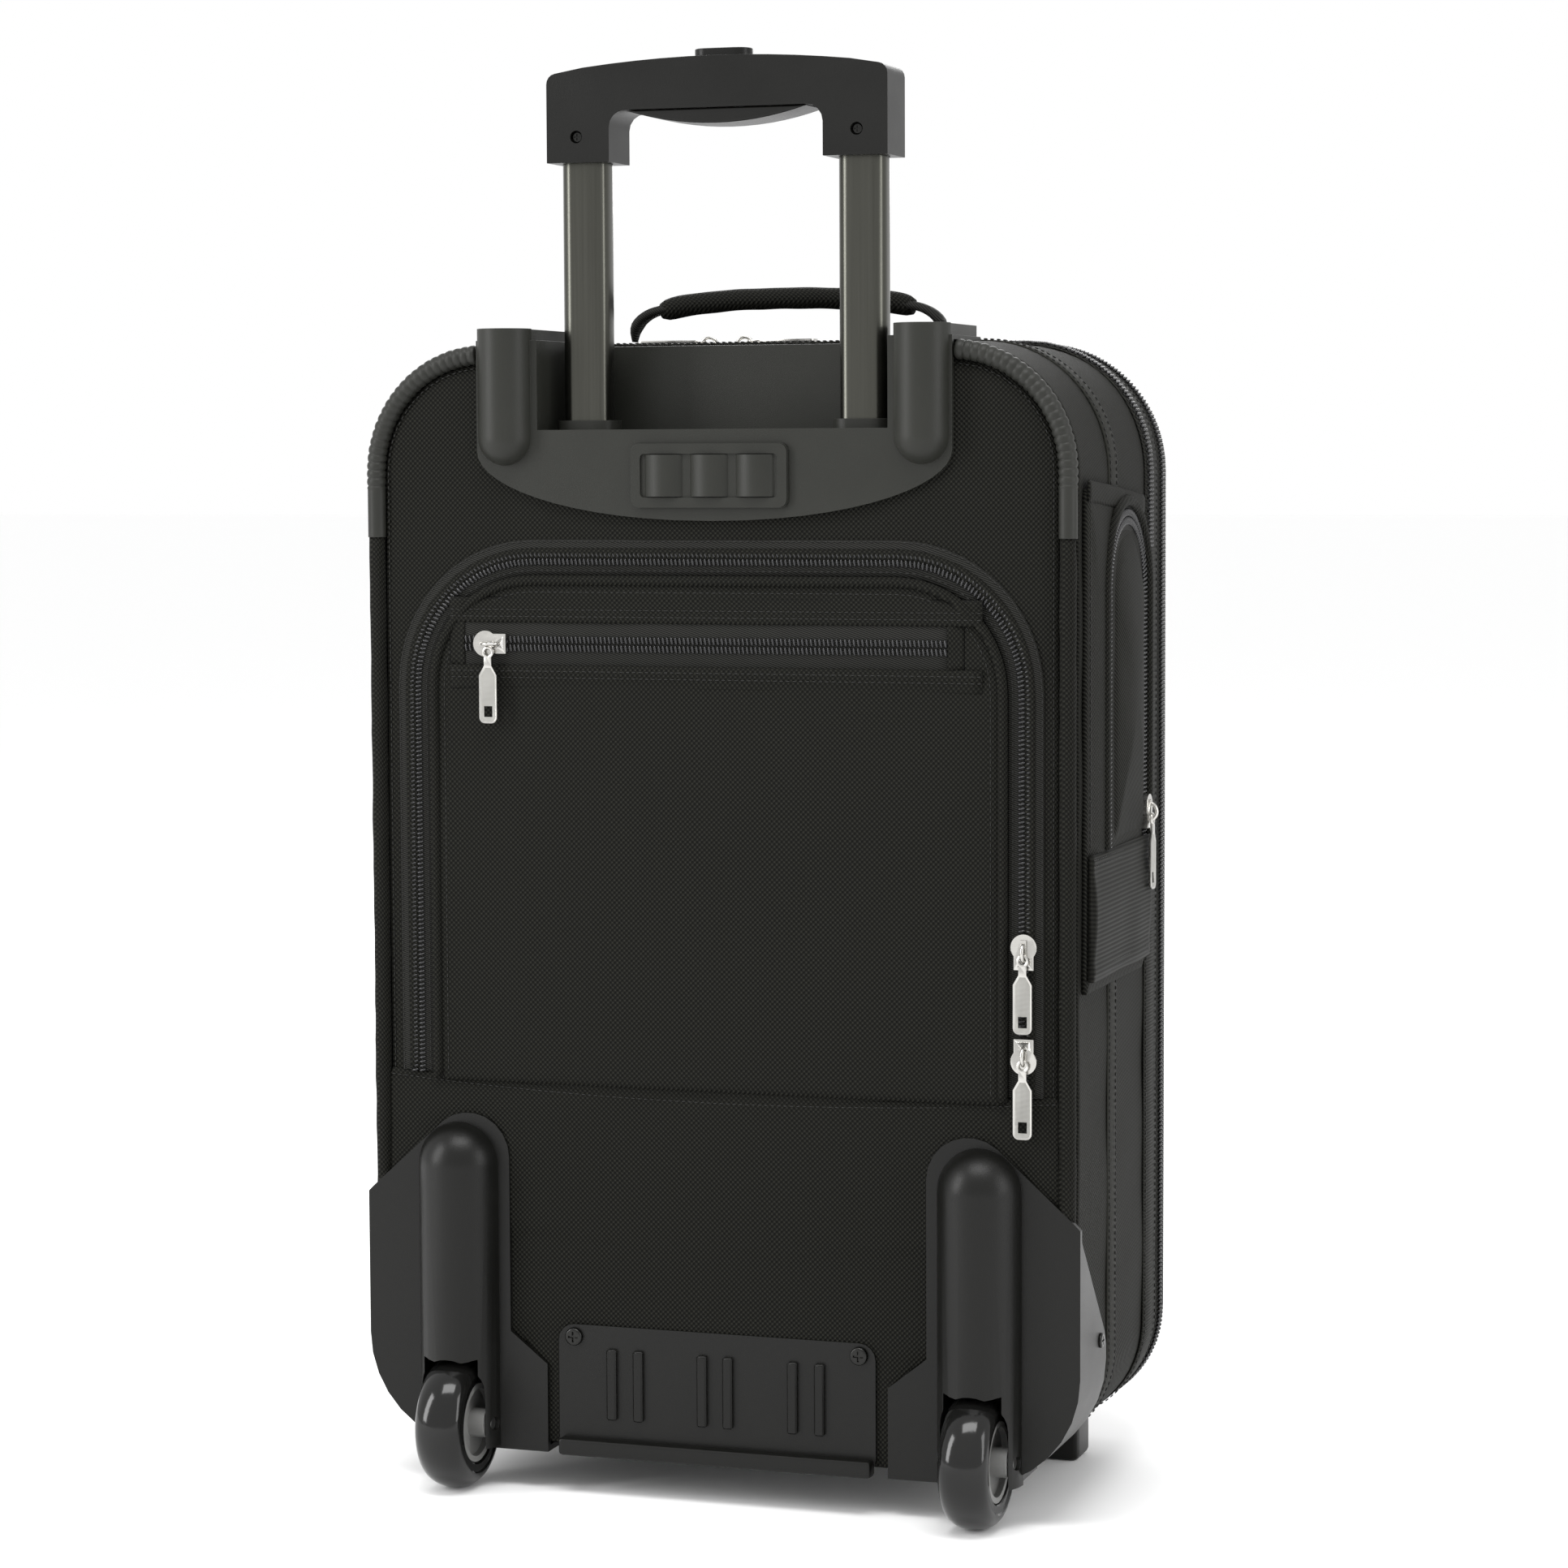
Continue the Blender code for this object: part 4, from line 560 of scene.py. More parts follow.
def carve(piece, *boxes):
    """Cut boxes, each two corners, out of a piece."""
    for low, high in boxes:
        low, high = Vector(low), Vector(high)
        bpy.ops.object.select_all(action="DESELECT")
        bpy.ops.mesh.primitive_cube_add(size=1.0, location=(low + high) / 2, scale=high - low)
        cut_or_join(piece, bpy.context.object)


WALL_RUN = wall_high.y - wall_low.y
WALL_TUCK, WALL_PUFF = 0.0025, 0.0010
wall_section = [
    (wall_low.y - WALL_TUCK + (WALL_RUN + WALL_TUCK) * share, WALL_PUFF * math.sin(math.pi * share))
    for share in (step / 40 for step in range(41))
]
side_wall = swept(
    "side_wall", outline_path(case_line(), 0.0), wall_section, 0.006,
    across=FRONT, closed=True, open_section=True,
)
ripple(side_wall, 0.0006, 0.045, 7.0)
thicken(side_wall, 0.0022, inner_finish=1)
well_low, well_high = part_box("well_back_wall")
WELL_HALF, OUTSIDE = 0.0908, -0.09
WHEEL_BOX_INNER, WHEEL_BOX_OUTER, WHEEL_BOX_TOP, WHEEL_BOX_FRONT = 0.1122, 0.1498, 0.0728, -0.0488
carve(
    side_wall,
    ((-WELL_HALF, OUTSIDE, well_low.z + 0.0035), (WELL_HALF, well_high.y + 0.0003, 0.60)),
    ((-WHEEL_BOX_OUTER, OUTSIDE, -0.01), (-WHEEL_BOX_INNER, WHEEL_BOX_FRONT, WHEEL_BOX_TOP)),
    ((WHEEL_BOX_INNER, OUTSIDE, -0.01), (WHEEL_BOX_OUTER, WHEEL_BOX_FRONT, WHEEL_BOX_TOP)),
)
dress(side_wall, [side_nylon, lining], replaces=["gusset"])


def flat_section(width, thickness, edge=0.3):
    """A strap's section: flat, with its edges rounded."""
    half, bend = width / 2, thickness * edge
    return [
        (-half, 0.0), (half, 0.0), (half + bend / 2, thickness / 2), (half - bend, thickness),
        (0.0, thickness * 1.08), (-half + bend, thickness), (-half - bend / 2, thickness / 2),
    ]


def grosgrain_finish(name, colour, pitch, along="Z"):
    """Ribbed tape: fine ridges across its run, their tops painted lighter as highlight and the grooves
    between them painted darker as shade.
    """
    material, tree, shader = finish_of(
        name, colour, 0.62, 0.0, {"Sheen Weight": 0.01, "Specular IOR Level": 0.09}
    )
    place = own_place(tree)
    axes = parted(tree, place)
    run = calc(tree, "ADD", axes["X"], axes["Z"]) if along == "XZ" else axes[along]
    wave = calc(tree, "SINE", calc(tree, "MULTIPLY", run, 2 * math.pi / pitch))
    ridge = calc(tree, "MULTIPLY_ADD", wave, 0.5, 0.5)
    # painted light: each ridge top painted lighter as highlight and each groove darker as shade, over a
    # random grain tone
    lit = calc(tree, "MULTIPLY_ADD", grain(tree, place, 1100.0), 0.3, calc(tree, "MULTIPLY", ridge, 0.85))
    painted_weave_light_shade = between(tree, lit, scaled(colour, 0.4), scaled(colour, 2.0))
    tree.links.new(painted_weave_light_shade, shader.inputs["Base Color"])
    raise_by(tree, shader, ridge, 0.00025)
    return material


tape_finish = grosgrain_finish("grosgrain_tape", (0.0075, 0.0075, 0.0062), 0.0016, "XZ")
smooth_tape = cloth_finish("smooth_tape", (0.0105, 0.0105, 0.0088), 0.0009, depth=0.00012)
STRIP_Y, STRIP_WIDTH = BACK + 0.063, 0.016
TAPE_Y, TAPE_WIDTH = BACK + 0.141, 0.025
for name, y, width, coat in (
    ("smooth_strip", STRIP_Y, STRIP_WIDTH, smooth_tape), ("mouth_tape", TAPE_Y, TAPE_WIDTH, tape_finish),
):
    band_path = outline_path(case_line(0.0008), y)
    band = swept(name, band_path, flat_section(width, 0.0008), 0.006, across=FRONT, closed=True)
    ripple(band, 0.0003, 0.03, 5.0)
    dress(band, coat)
    if name == "smooth_strip":
        carve(band, ((-WELL_HALF, OUTSIDE, 0.5), (WELL_HALF, well_high.y + 0.0003, 0.60)))
    for side in (-1, 1):
        stitched(
            f"{name}_seam_{'front' if side > 0 else 'back'}",
            outline_path(case_line(0.0020), y + side * (width / 2 - 0.0022)), across=FRONT, closed=True,
        )

# ---------------------------------------------------------------- piping and corner guards
# Nylon-covered cord sewn round the edge of the back. Grey rubber guards, ribbed round the
# bend and plain on the last stretch, are pressed over it at the top corners.

def round_section(radius, sides=14):
    return [
        (radius * math.cos(2 * math.pi * i / sides), radius * math.sin(2 * math.pi * i / sides))
        for i in range(sides)
    ]


rubber_finish = grained_finish(
    "grey_rubber", (0.016, 0.0164, 0.014), 0.46, 0.0, 0.25, 1800.0, 0.00008,
    (60.0, 4.0, (0.013, 0.0133, 0.0113), (0.021, 0.0215, 0.0183)),
)

GUARD_RIB_PITCH = 0.0038
GUARD_PLAIN_SHARE = 0.80
GUARD_BEND = (HALF_WIDTH - TOP_CORNER_R, CASE_TOP - TOP_CORNER_R)
CORD_TUCK = 0.0095
PIPING_SEAM_X = 0.1655
for side, sign in SIDES:
    guard_low, guard_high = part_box(f"corner_guard_{side}")
    cord_low, cord_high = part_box(f"piping_{side}")
    cord_r = (cord_high.x - cord_low.x) / 2
    cord_x = (cord_high.x + cord_low.x) / 2
    cord_y = (cord_high.y + cord_low.y) / 2
    guard_r = (guard_high.y - guard_low.y) / 2
    reach = abs(cord_x)
    corner = arc(*GUARD_BEND, reach - GUARD_BEND[0], 90, 0, 16)
    run = [(0.1190, corner[0][1])] + [point for point in corner if point[0] > 0.121]
    run.append((reach, guard_low.z))
    guard_path = [(sign * u, cord_y, v) for u, v in run]
    guard_length = sum(math.dist(a, b) for a, b in zip(guard_path, guard_path[1:]))
    ribs = guard_length / GUARD_RIB_PITCH

    def ribbed(share, ribs=ribs):
        """Rings that stand up between grooves, until the plain sleeve."""
        if share > GUARD_PLAIN_SHARE:
            return 0.97
        return 0.88 + 0.15 * abs(math.sin(math.pi * share * ribs)) ** 0.6

    guard = swept(
        f"ribbed_guard_{side}", guard_path, round_section(guard_r), 0.00042, outward=REAR, swell=ribbed
    )
    dress(guard, rubber_finish, replaces=[f"corner_guard_{side}"])
    cord_path = [(cord_x, cord_y, cord_high.z + 0.002), (cord_x, cord_y, cord_low.z - CORD_TUCK)]
    cord = swept(f"welt_cord_{side}", cord_path, round_section(cord_r), 0.006, outward=REAR)
    ripple(cord, 0.0004, 0.012, 2.0)
    dress(cord, back_nylon, replaces=[f"piping_{side}"])
    seam = [(PIPING_SEAM_X, 0.150), (PIPING_SEAM_X, GUARD_BEND[1])]
    seam += arc(*GUARD_BEND, PIPING_SEAM_X - GUARD_BEND[0], 0, 84)
    seam = [(sign * u, v) for u, v in seam]
    stitched(f"piping_seam_{side}", on_back(seam, 0.0002), REAR)

# ---------------------------------------------------------------- moulded plastic
# Grey housing with its bumpers and trolley well, black wheel housings, kick plate and
# feet. Injection moulded with a fine spark texture; every edge has a small radius.

def moulded_finish(name, colour, roughness):
    """Moulded plastic: spark texture, handling marks and uneven gloss."""
    material, tree, shader = finish_of(name, colour, roughness, 0.0, {"Specular IOR Level": 0.24})
    place = own_place(tree)
    rub = grain(tree, place, 24.0, 5.0)
    tree.links.new(between(tree, rub, scaled(colour, 0.85), scaled(colour, 1.2)), shader.inputs["Base Color"])
    gloss = calc(tree, "MULTIPLY_ADD", rub, 0.16, roughness - 0.08)
    tree.links.new(gloss, shader.inputs["Roughness"])
    raise_by(tree, shader, grain(tree, place, 2600.0, 1.0), 0.00006)
    return material


def round_edges(piece, width, segments, degrees):
    """Round every edge sharper than an angle."""
    step = piece.modifiers.new("edges", "BEVEL")
    step.width = width
    step.segments = segments
    step.limit_method = "ANGLE"
    step.angle_limit = math.radians(degrees)
    return step


def smooth_up_to(piece, degrees):
    """Shade a piece smooth, but for edges sharper than an angle."""
    only(piece)
    bpy.ops.object.shade_smooth_by_angle(angle=math.radians(degrees))


def rounded_part(node, finish, body, radius=0.0005, segments=2, cutters=()):
    """The CAD solid as a finished moulding: edges rounded, curves smooth."""
    piece = bpy.data.objects.new(f"{node}_finished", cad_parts[node].data.copy())
    scene.collection.objects.link(piece)
    only(piece)
    bpy.ops.mesh.customdata_custom_splitnormals_clear()
    shape = bmesh.new()
    shape.from_mesh(piece.data)
    bmesh.ops.remove_doubles(shape, verts=shape.verts, dist=2e-6)
    bmesh.ops.dissolve_limit(
        shape, angle_limit=math.radians(0.5), use_dissolve_boundaries=False,
        verts=shape.verts, edges=shape.edges,
    )
    shape.to_mesh(piece.data)
    shape.free()
    for cutter in cutters:
        cut_or_join(piece, cutter)
    if radius:
        round_edges(piece, radius, segments, 38).miter_outer = "MITER_ARC"
        apply_modifiers(piece)
    smooth_up_to(piece, 38)
    step = piece.modifiers.new("even_light", "WEIGHTED_NORMAL")
    step.keep_sharp = True
    apply_modifiers(piece)
    return dress(piece, finish, body, [node])


def cross_bars(place, facing_to, size, width, depth):
    """The two crossed tools that leave a cross recess in a screw head."""
    turn = Vector(facing_to).to_track_quat("Z", "Y").to_matrix().to_4x4()
    bars = []
    for length, breadth in ((size, width), (width, size)):
        bpy.ops.mesh.primitive_cube_add(size=1.0)
        bar = bpy.context.object
        stretch = Matrix.Diagonal((length, breadth, 2 * depth, 1.0))
        bar.data.transform(Matrix.Translation(place) @ turn @ stretch)
        bars.append(bar)
    return bars


grey_plastic = moulded_finish("grey_moulding", (0.0165, 0.0170, 0.0142), 0.42)
black_plastic = moulded_finish("black_moulding", (0.0042, 0.0042, 0.0036), 0.36)
rounded_part("top_housing", grey_plastic, "case", 0.0008, 3)
rounded_part("well_back_wall", grey_plastic, "case")
rounded_part("badge_panel", grey_plastic, "case", 0.0004)
for side in ("left", "right"):
    rounded_part(f"wheel_housing_{side}", black_plastic, "case", 0.0009, 3)
    rounded_part(f"foot_{side}", black_plastic, "case", 0.0004)
rounded_part("kick_plate", black_plastic, "case", 0.0006)
rounded_part("guide_bracket", black_plastic, "case", 0.0)

# ---------------------------------------------------------------- screws
# Black pan-head screws with cross recesses, in the kick plate, the wheel housings' sides
# and the trolley grip's legs.

screw_finish = grained_finish("black_oxide", (0.030, 0.030, 0.029), 0.28, 1.0, 0.5, 2400.0, 0.00005)
KICK_SCREW_R, KICK_SCREW_RISE = 0.0044, 0.0026


def pan_head(name, place, facing_to, radius, height, body):
    """A screw head: a low dome on a short wall, with its cross cut."""
    turn = Vector(facing_to).to_track_quat("Z", "Y").to_matrix().to_4x4()
    bpy.ops.object.select_all(action="DESELECT")
    bpy.ops.mesh.primitive_cylinder_add(vertices=32, radius=radius, depth=height)
    head = bpy.context.object
    head.name = name
    head.data.transform(Matrix.Translation(place) @ turn)
    round_edges(head, height * 0.45, 4, 30)
    apply_modifiers(head)
    crown = Vector(place) + Vector(facing_to) * height / 2
    for bar in cross_bars(crown, facing_to, radius * 1.15, radius * 0.24, height * 0.4):
        cut_or_join(head, bar)
    smooth_up_to(head, 35)
    return dress(head, screw_finish, body)


plate_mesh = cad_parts["kick_plate"].data
plate_skin = BVHTree.FromPolygons(
    [vertex.co for vertex in plate_mesh.vertices], [face.vertices for face in plate_mesh.polygons]
)
for side in ("left", "right"):
    low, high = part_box(f"kick_screw_{side}")
    x, z = (low.x + high.x) / 2, (low.z + high.z) / 2
    face = plate_skin.ray_cast(Vector((x * 0.92, low.y - 0.05, z)), Vector((0, 1, 0)))[0]
    seat = (x, face.y - KICK_SCREW_RISE * 0.3, z)
    screw = pan_head(f"kick_screw_head_{side}", seat, REAR, KICK_SCREW_R, KICK_SCREW_RISE, "case")
    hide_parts(f"kick_screw_{side}")

SIDE_SCREW_Y, SIDE_SCREW_Z = BACK + 0.035, 0.083
SIDE_SCREW_R, SIDE_SCREW_RISE = 0.0036, 0.0018
skin_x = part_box("wheel_housing_right")[1].x
for side, sign in SIDES:
    pan_head(
        f"housing_side_screw_{side}", (sign * (skin_x + 0.0004), SIDE_SCREW_Y, SIDE_SCREW_Z), (sign, 0, 0),
        SIDE_SCREW_R, SIDE_SCREW_RISE, "case",
    )

# ---------------------------------------------------------------- trolley
# Two black anodised tubes that slide in steel guides, under a moulded grip with a push
# button. The belly of the grip is a separate moulding, screwed on through the legs.

tube_finish, tube_tree, tube_shader = finish_of("black_anodising", (0.042, 0.042, 0.036), 0.26, 1.0)
tube_map = tube_tree.nodes.new("ShaderNodeMapping")
tube_map.inputs["Scale"].default_value = (900.0, 900.0, 9.0)
tube_tree.links.new(own_place(tube_tree), tube_map.inputs["Vector"])
drawn = grain(tube_tree, tube_map.outputs["Vector"], 1.0)
tube_tone = between(tube_tree, drawn, (0.060, 0.060, 0.052), (0.088, 0.088, 0.077))
tube_tree.links.new(tube_tone, tube_shader.inputs["Base Color"])
raise_by(tube_tree, tube_shader, drawn, 0.00002)
steel_finish = grained_finish("zinc_steel", (0.20, 0.20, 0.195), 0.40, 1.0, 0.5, 900.0, 0.00003)

for side, sign in SIDES:
    rounded_part(f"trolley_tube_{side}", tube_finish, "trolley", 0.0)
    rounded_part(f"tube_plug_{side}", black_plastic, "trolley", 0.0)
    rounded_part(f"guide_tube_{side}", steel_finish, "case", 0.0)
    rounded_part(f"latch_pin_{side}", steel_finish, f"latch_{side}", 0.0003)
    rounded_part(f"axle_{side}", steel_finish, "case", 0.0004)
rounded_part("latch_yoke", steel_finish, "button", 0.0)
spring = rounded_part("button_spring", steel_finish, "trolley", 0.0)
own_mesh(spring)
grip_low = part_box("grip_body")[0]
GRIP_SCREW_X, GRIP_SCREW_Z, GRIP_SCREW_R = 0.0695, 0.650, 0.0030
holes = []
for sign in (-1, 1):
    bpy.ops.object.select_all(action="DESELECT")
    bpy.ops.mesh.primitive_cylinder_add(
        vertices=32, radius=GRIP_SCREW_R, depth=0.006, rotation=(math.pi / 2, 0, 0),
        location=(sign * GRIP_SCREW_X, grip_low.y, GRIP_SCREW_Z),
    )
    holes.append(bpy.context.object)
rounded_part("grip_body", black_plastic, "trolley", 0.0013, 3, holes)
for side, sign in SIDES:
    pan_head(
        f"grip_screw_{side}", (sign * GRIP_SCREW_X, grip_low.y + 0.0021, GRIP_SCREW_Z), REAR,
        GRIP_SCREW_R * 0.86, 0.0014, "trolley",
    )
rounded_part("grip_belly", black_plastic, "trolley", 0.0016, 4)
rounded_part("push_button", black_plastic, "button", 0.0006, 3)

# ---------------------------------------------------------------- wheels
# Glossy black polyurethane tyres cast on grey nylon hubs, turning on steel axles.

tyre_finish = grained_finish(
    "cast_polyurethane", (0.004, 0.004, 0.004), 0.12, 0.0, 0.35, 260.0, 0.00004,
    (70.0, 5.0, (0.003, 0.003, 0.003), (0.007, 0.007, 0.0065)),
)
hub_finish = moulded_finish("hub_nylon", (0.16, 0.16, 0.155), 0.38)

TYRE_BORE, TYRE_SHOULDER = 0.0197, 0.0245
for side, sign in SIDES:
    low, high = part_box(f"tyre_{side}")
    middle = (low + high) / 2
    half, radius = (high.x - low.x) / 2, (high.z - low.z) / 2
    crown = [
        (half * math.cos(a), TYRE_SHOULDER + (radius - TYRE_SHOULDER) * math.sin(a))
        for a in (math.radians(step * 12) for step in range(16))
    ]
    cheek = half - 0.0008
    wall = [(cheek, TYRE_SHOULDER - 0.0008), (cheek, TYRE_BORE + 0.0006), (cheek - 0.0006, TYRE_BORE)]
    profile = [(-u, r) for u, r in wall[::-1] + crown] + wall
    shape = bmesh.new()
    points = [shape.verts.new((middle.x + u, middle.y, middle.z + r)) for u, r in profile]
    edges = [shape.edges.new(pair) for pair in zip(points, points[1:] + points[:1])]
    bmesh.ops.spin(
        shape, geom=points + edges, cent=middle, axis=(1, 0, 0), angle=2 * math.pi, steps=96, use_merge=True
    )
    bmesh.ops.remove_doubles(shape, verts=shape.verts, dist=1e-6)
    tyre = made(f"cast_tyre_{side}", shape)
    smooth_up_to(tyre, 40)
    dress(tyre, tyre_finish, f"wheel_{side}", [f"tyre_{side}"])
    rounded_part(f"wheel_hub_{side}", hub_finish, f"wheel_{side}", 0.0004)

# ---------------------------------------------------------------- zips
# Nylon coil zips: two rows of loops on woven tape, a groove between them. The long zip
# opens the back pocket, and the short one crosses its flap.

coil_finish = grained_finish("nylon_coil", (0.010, 0.010, 0.011), 0.24, 0.0, 0.5, 2200.0, 0.00004)
zip_tape = cloth_finish("zip_tape", (0.0095, 0.0095, 0.0085), 0.0010, twill=True, depth=0.00012)

COIL_PITCH = 0.0021
COIL_ROW = 0.0020
one_loop = bead("one_coil_loop", (0.00135, 0.0042, 0.0019), 8, 6)
one_loop.data.transform(Matrix.Rotation(math.radians(11), 4, "Z"))


def coil_rows(name, path, outward=None, across=None, bodies=("case", "case")):
    """The two rows of loops of a closed zip, each on the body that its tape is sewn to."""
    for row, (aside, body) in enumerate(zip((-COIL_ROW, COIL_ROW), bodies)):
        coil = copied_along(
            f"{name}_coil_{'ab'[row]}", one_loop, path, COIL_PITCH, False, outward, across, aside
        )
        dress(coil, coil_finish, body)


LONG_ZIP_HALF = 0.1525
LONG_ZIP_HIGH = 0.4515
LONG_ZIP_R = 0.0615
flap_low, flap_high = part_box("back_pocket_flap")
long_line = doorway(LONG_ZIP_HALF, KICK_PANEL_HIGH - 0.001, LONG_ZIP_HIGH, LONG_ZIP_R)
tape = swept("long_zip_tape", on_back(long_line), flat_section(0.017, 0.0013), 0.004, outward=REAR)
dress(tape, zip_tape, replaces=["back_pocket_zip"])
coil_rows("long_zip", on_back(long_line, 0.0016), REAR)


def beside_long_zip(shift):
    """The long zip's line, moved out from it."""
    return doorway(LONG_ZIP_HALF + shift, KICK_PANEL_HIGH, LONG_ZIP_HIGH + shift, LONG_ZIP_R + shift)


for side, shift in (("outer", 0.0078), ("inner", -0.0062)):
    stitched(f"long_zip_seam_{side}", on_back(beside_long_zip(shift), 0.0013), REAR)
edge_section = [(0.0, 0.0), (0.0, 0.0016), (-0.0008, 0.0024)]
edge_section += [(-0.0020, 0.0025), (-0.0050, 0.0014), (-0.0090, 0.0)]
zip_edge = swept("long_zip_edge", on_back(beside_long_zip(0.0046), 0.0002), edge_section, 0.004, outward=REAR)
dress(zip_edge, back_nylon)

# ---------------------------------------------------------------- back pocket flap
# A quilted flap with a corded edge. A short zip crosses it between two folds, each held
# by a double row of stitches.

FLAP_HALF = flap_high.x
FLAP_CORNER_R = 0.050
flap_outline = doorway(FLAP_HALF, flap_low.z - 0.006, flap_high.z, FLAP_CORNER_R)
flap_profile = [(0, 0.0), (1.0, 0.0), (1.0, 0.0016), (0.992, 0.0027), (0.975, 0.0030)]
flap_profile += crowned(18, 0.0031, 0.0004)
flap_wall = facing("back", flap_high.y)
flap = ringed("pocket_flap_pad", flap_outline, flap_profile, flap_wall, (0.0, 0.32), 0.005)
ripple(flap, 0.0003, 0.06, 11.0)
dress(flap, back_nylon, replaces=["back_pocket_flap"])
FLAP_FACE = flap_low.y
welt_line = doorway(FLAP_HALF + 0.0008, flap_low.z - 0.004, flap_high.z + 0.0008, FLAP_CORNER_R + 0.0008)
welt = swept("flap_welt", on_back(welt_line, 0.0026), round_section(0.0024, 12), 0.004, outward=REAR)
dress(welt, back_nylon)
flap_seam = doorway(FLAP_HALF - 0.0048, flap_low.z, flap_high.z - 0.0048, FLAP_CORNER_R - 0.0048)
stitched("flap_welt_seam", [(u, FLAP_FACE, v) for u, v in flap_seam], REAR)

short_low, short_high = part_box("flap_zip")
short_z = (short_low.z + short_high.z) / 2


def across_flap(left, right, height, lift):
    return [(x, FLAP_FACE - lift, height) for x in (left, 0.0, right)]


short_tape = swept(
    "short_zip_tape", across_flap(short_low.x - 0.004, short_high.x + 0.004, short_z, 0.0001),
    flat_section(0.0215, 0.0006), 0.008, outward=REAR,
)
dress(short_tape, zip_tape, replaces=["flap_zip"])
coil_rows("short_zip", across_flap(short_low.x, short_high.x, short_z, 0.0012), REAR)
WINDOW_HALF = 0.0104
FOLD_WIDTH = 0.0120


def fold_section(width, height):
    """Cloth turned under along one edge: thick at the fold, fading into the panel."""
    return [
        (0.0, 0.0), (-0.0003, height * 0.5), (0.0002, height * 0.9), (0.0012, height),
        (width * 0.4, height * 0.62), (width * 0.8, height * 0.2), (width, 0.0),
    ]


for name, away in (("upper", 1), ("lower", -1)):
    window_edge = short_z + away * WINDOW_HALF
    fold = swept(
        f"zip_fold_{name}", across_flap(-FLAP_HALF + 0.0085, FLAP_HALF - 0.0085, window_edge, 0.0),
        [(-away * p, q) for p, q in fold_section(FOLD_WIDTH, 0.0015)], 0.006, outward=REAR,
    )
    ripple(fold, 0.0002, 0.02, 4.0)
    dress(fold, back_nylon)
    for row, rise in enumerate((0.0026, 0.0058)):
        seam_z = short_z + away * (WINDOW_HALF + rise)
        seam = across_flap(-FLAP_HALF + 0.010, FLAP_HALF - 0.010, seam_z, 0.0012 - row * 0.0003)
        stitched(f"fold_seam_{name}_{row + 1}", seam, REAR)
for end, x, away in (("left", short_low.x - 0.0010, -1), ("right", short_high.x + 0.0010, 1)):
    stop = swept(
        f"zip_end_{end}",
        [(x, FLAP_FACE - 0.0002, short_z - WINDOW_HALF), (x, FLAP_FACE - 0.0002, short_z + WINDOW_HALF)],
        [(away * p, q) for p, q in fold_section(0.008, 0.0012)], 0.003, outward=REAR,
    )
    dress(stop, back_nylon)

# ---------------------------------------------------------------- side pocket
# A pocket on the right wall that bellies out, its arched zip edged with a corded welt,
# and a wide ribbed band sewn across its foot.

SETTLING_FRAMES = 20


def plump(piece, held, pressure, cap):
    """Fill a sewn shell with air until the cloth takes the load, held where it is sewn down."""
    group = piece.vertex_groups.new(name="sewn_down")
    group.add([vertex.index for vertex in piece.data.vertices if held(vertex.co)], 1.0, "REPLACE")
    before = np.array([vertex.co for vertex in piece.data.vertices])
    step = piece.modifiers.new("cloth", "CLOTH")
    step.settings.quality = 6
    step.settings.mass = 0.2
    step.settings.tension_stiffness = 25
    step.settings.compression_stiffness = 25
    step.settings.bending_stiffness = 2.0
    step.settings.use_pressure = True
    step.settings.uniform_pressure_force = pressure
    step.settings.vertex_group_mass = group.name
    step.settings.effector_weights.gravity = 0.0
    step.point_cache.frame_start, step.point_cache.frame_end = 1, SETTLING_FRAMES
    for frame_number in range(1, SETTLING_FRAMES + 1):
        scene.frame_set(frame_number)
    apply_modifiers(piece)
    scene.frame_set(1)
    shift = np.array([vertex.co for vertex in piece.data.vertices]) - before
    size = np.linalg.norm(shift, axis=1)
    shift *= (cap * np.tanh(size / cap) / np.maximum(size, 1e-9))[:, None]
    for vertex, place in zip(piece.data.vertices, before + shift):
        vertex.co = place


pocket_low, pocket_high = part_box("side_pocket")
pocket_middle = (pocket_high.y + pocket_low.y) / 2
pocket_depth = pocket_high.x - pocket_low.x
pocket_outline = [
    (pocket_low.y, pocket_low.z), (pocket_high.y, pocket_low.z), (pocket_high.y, 0.380),
]
pocket_outline += arc(pocket_high.y - 0.012, pocket_high.z - 0.016, 0.012, 0, 80, 6)
pocket_outline += [(pocket_low.y, pocket_high.z + 0.004)]
pocket_profile = [(0, 0.0), (1.0, 0.0), (1.0, pocket_depth * 0.7), (0.985, pocket_depth)]
pocket_profile += crowned(12, pocket_depth + 0.0002, 0.0)
pocket_wall = facing("right", pocket_low.x)
pocket = ringed(
    "side_pocket_cloth", pocket_outline, pocket_profile, pocket_wall, (pocket_middle, 0.365), 0.005
)
plump(pocket, lambda place: place.x < pocket_low.x + pocket_depth * 0.8, 3.0, 0.0022)
dress(pocket, side_nylon, replaces=["side_pocket"])

RIGHT = (1.0, 0.0, 0.0)
arch_low, arch_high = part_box("side_pocket_zip")
ARCH_HALF = (arch_high.y - arch_low.y) / 2 - 0.004
ARCH_MIDDLE = (arch_high.y + arch_low.y) / 2
ARCH_FACE = arch_low.x


def on_right(points, lift=0.0):
    """Points of the right wall, (along, up), on the side pocket's face."""
    return [(ARCH_FACE + lift, u, v) for u, v in points]


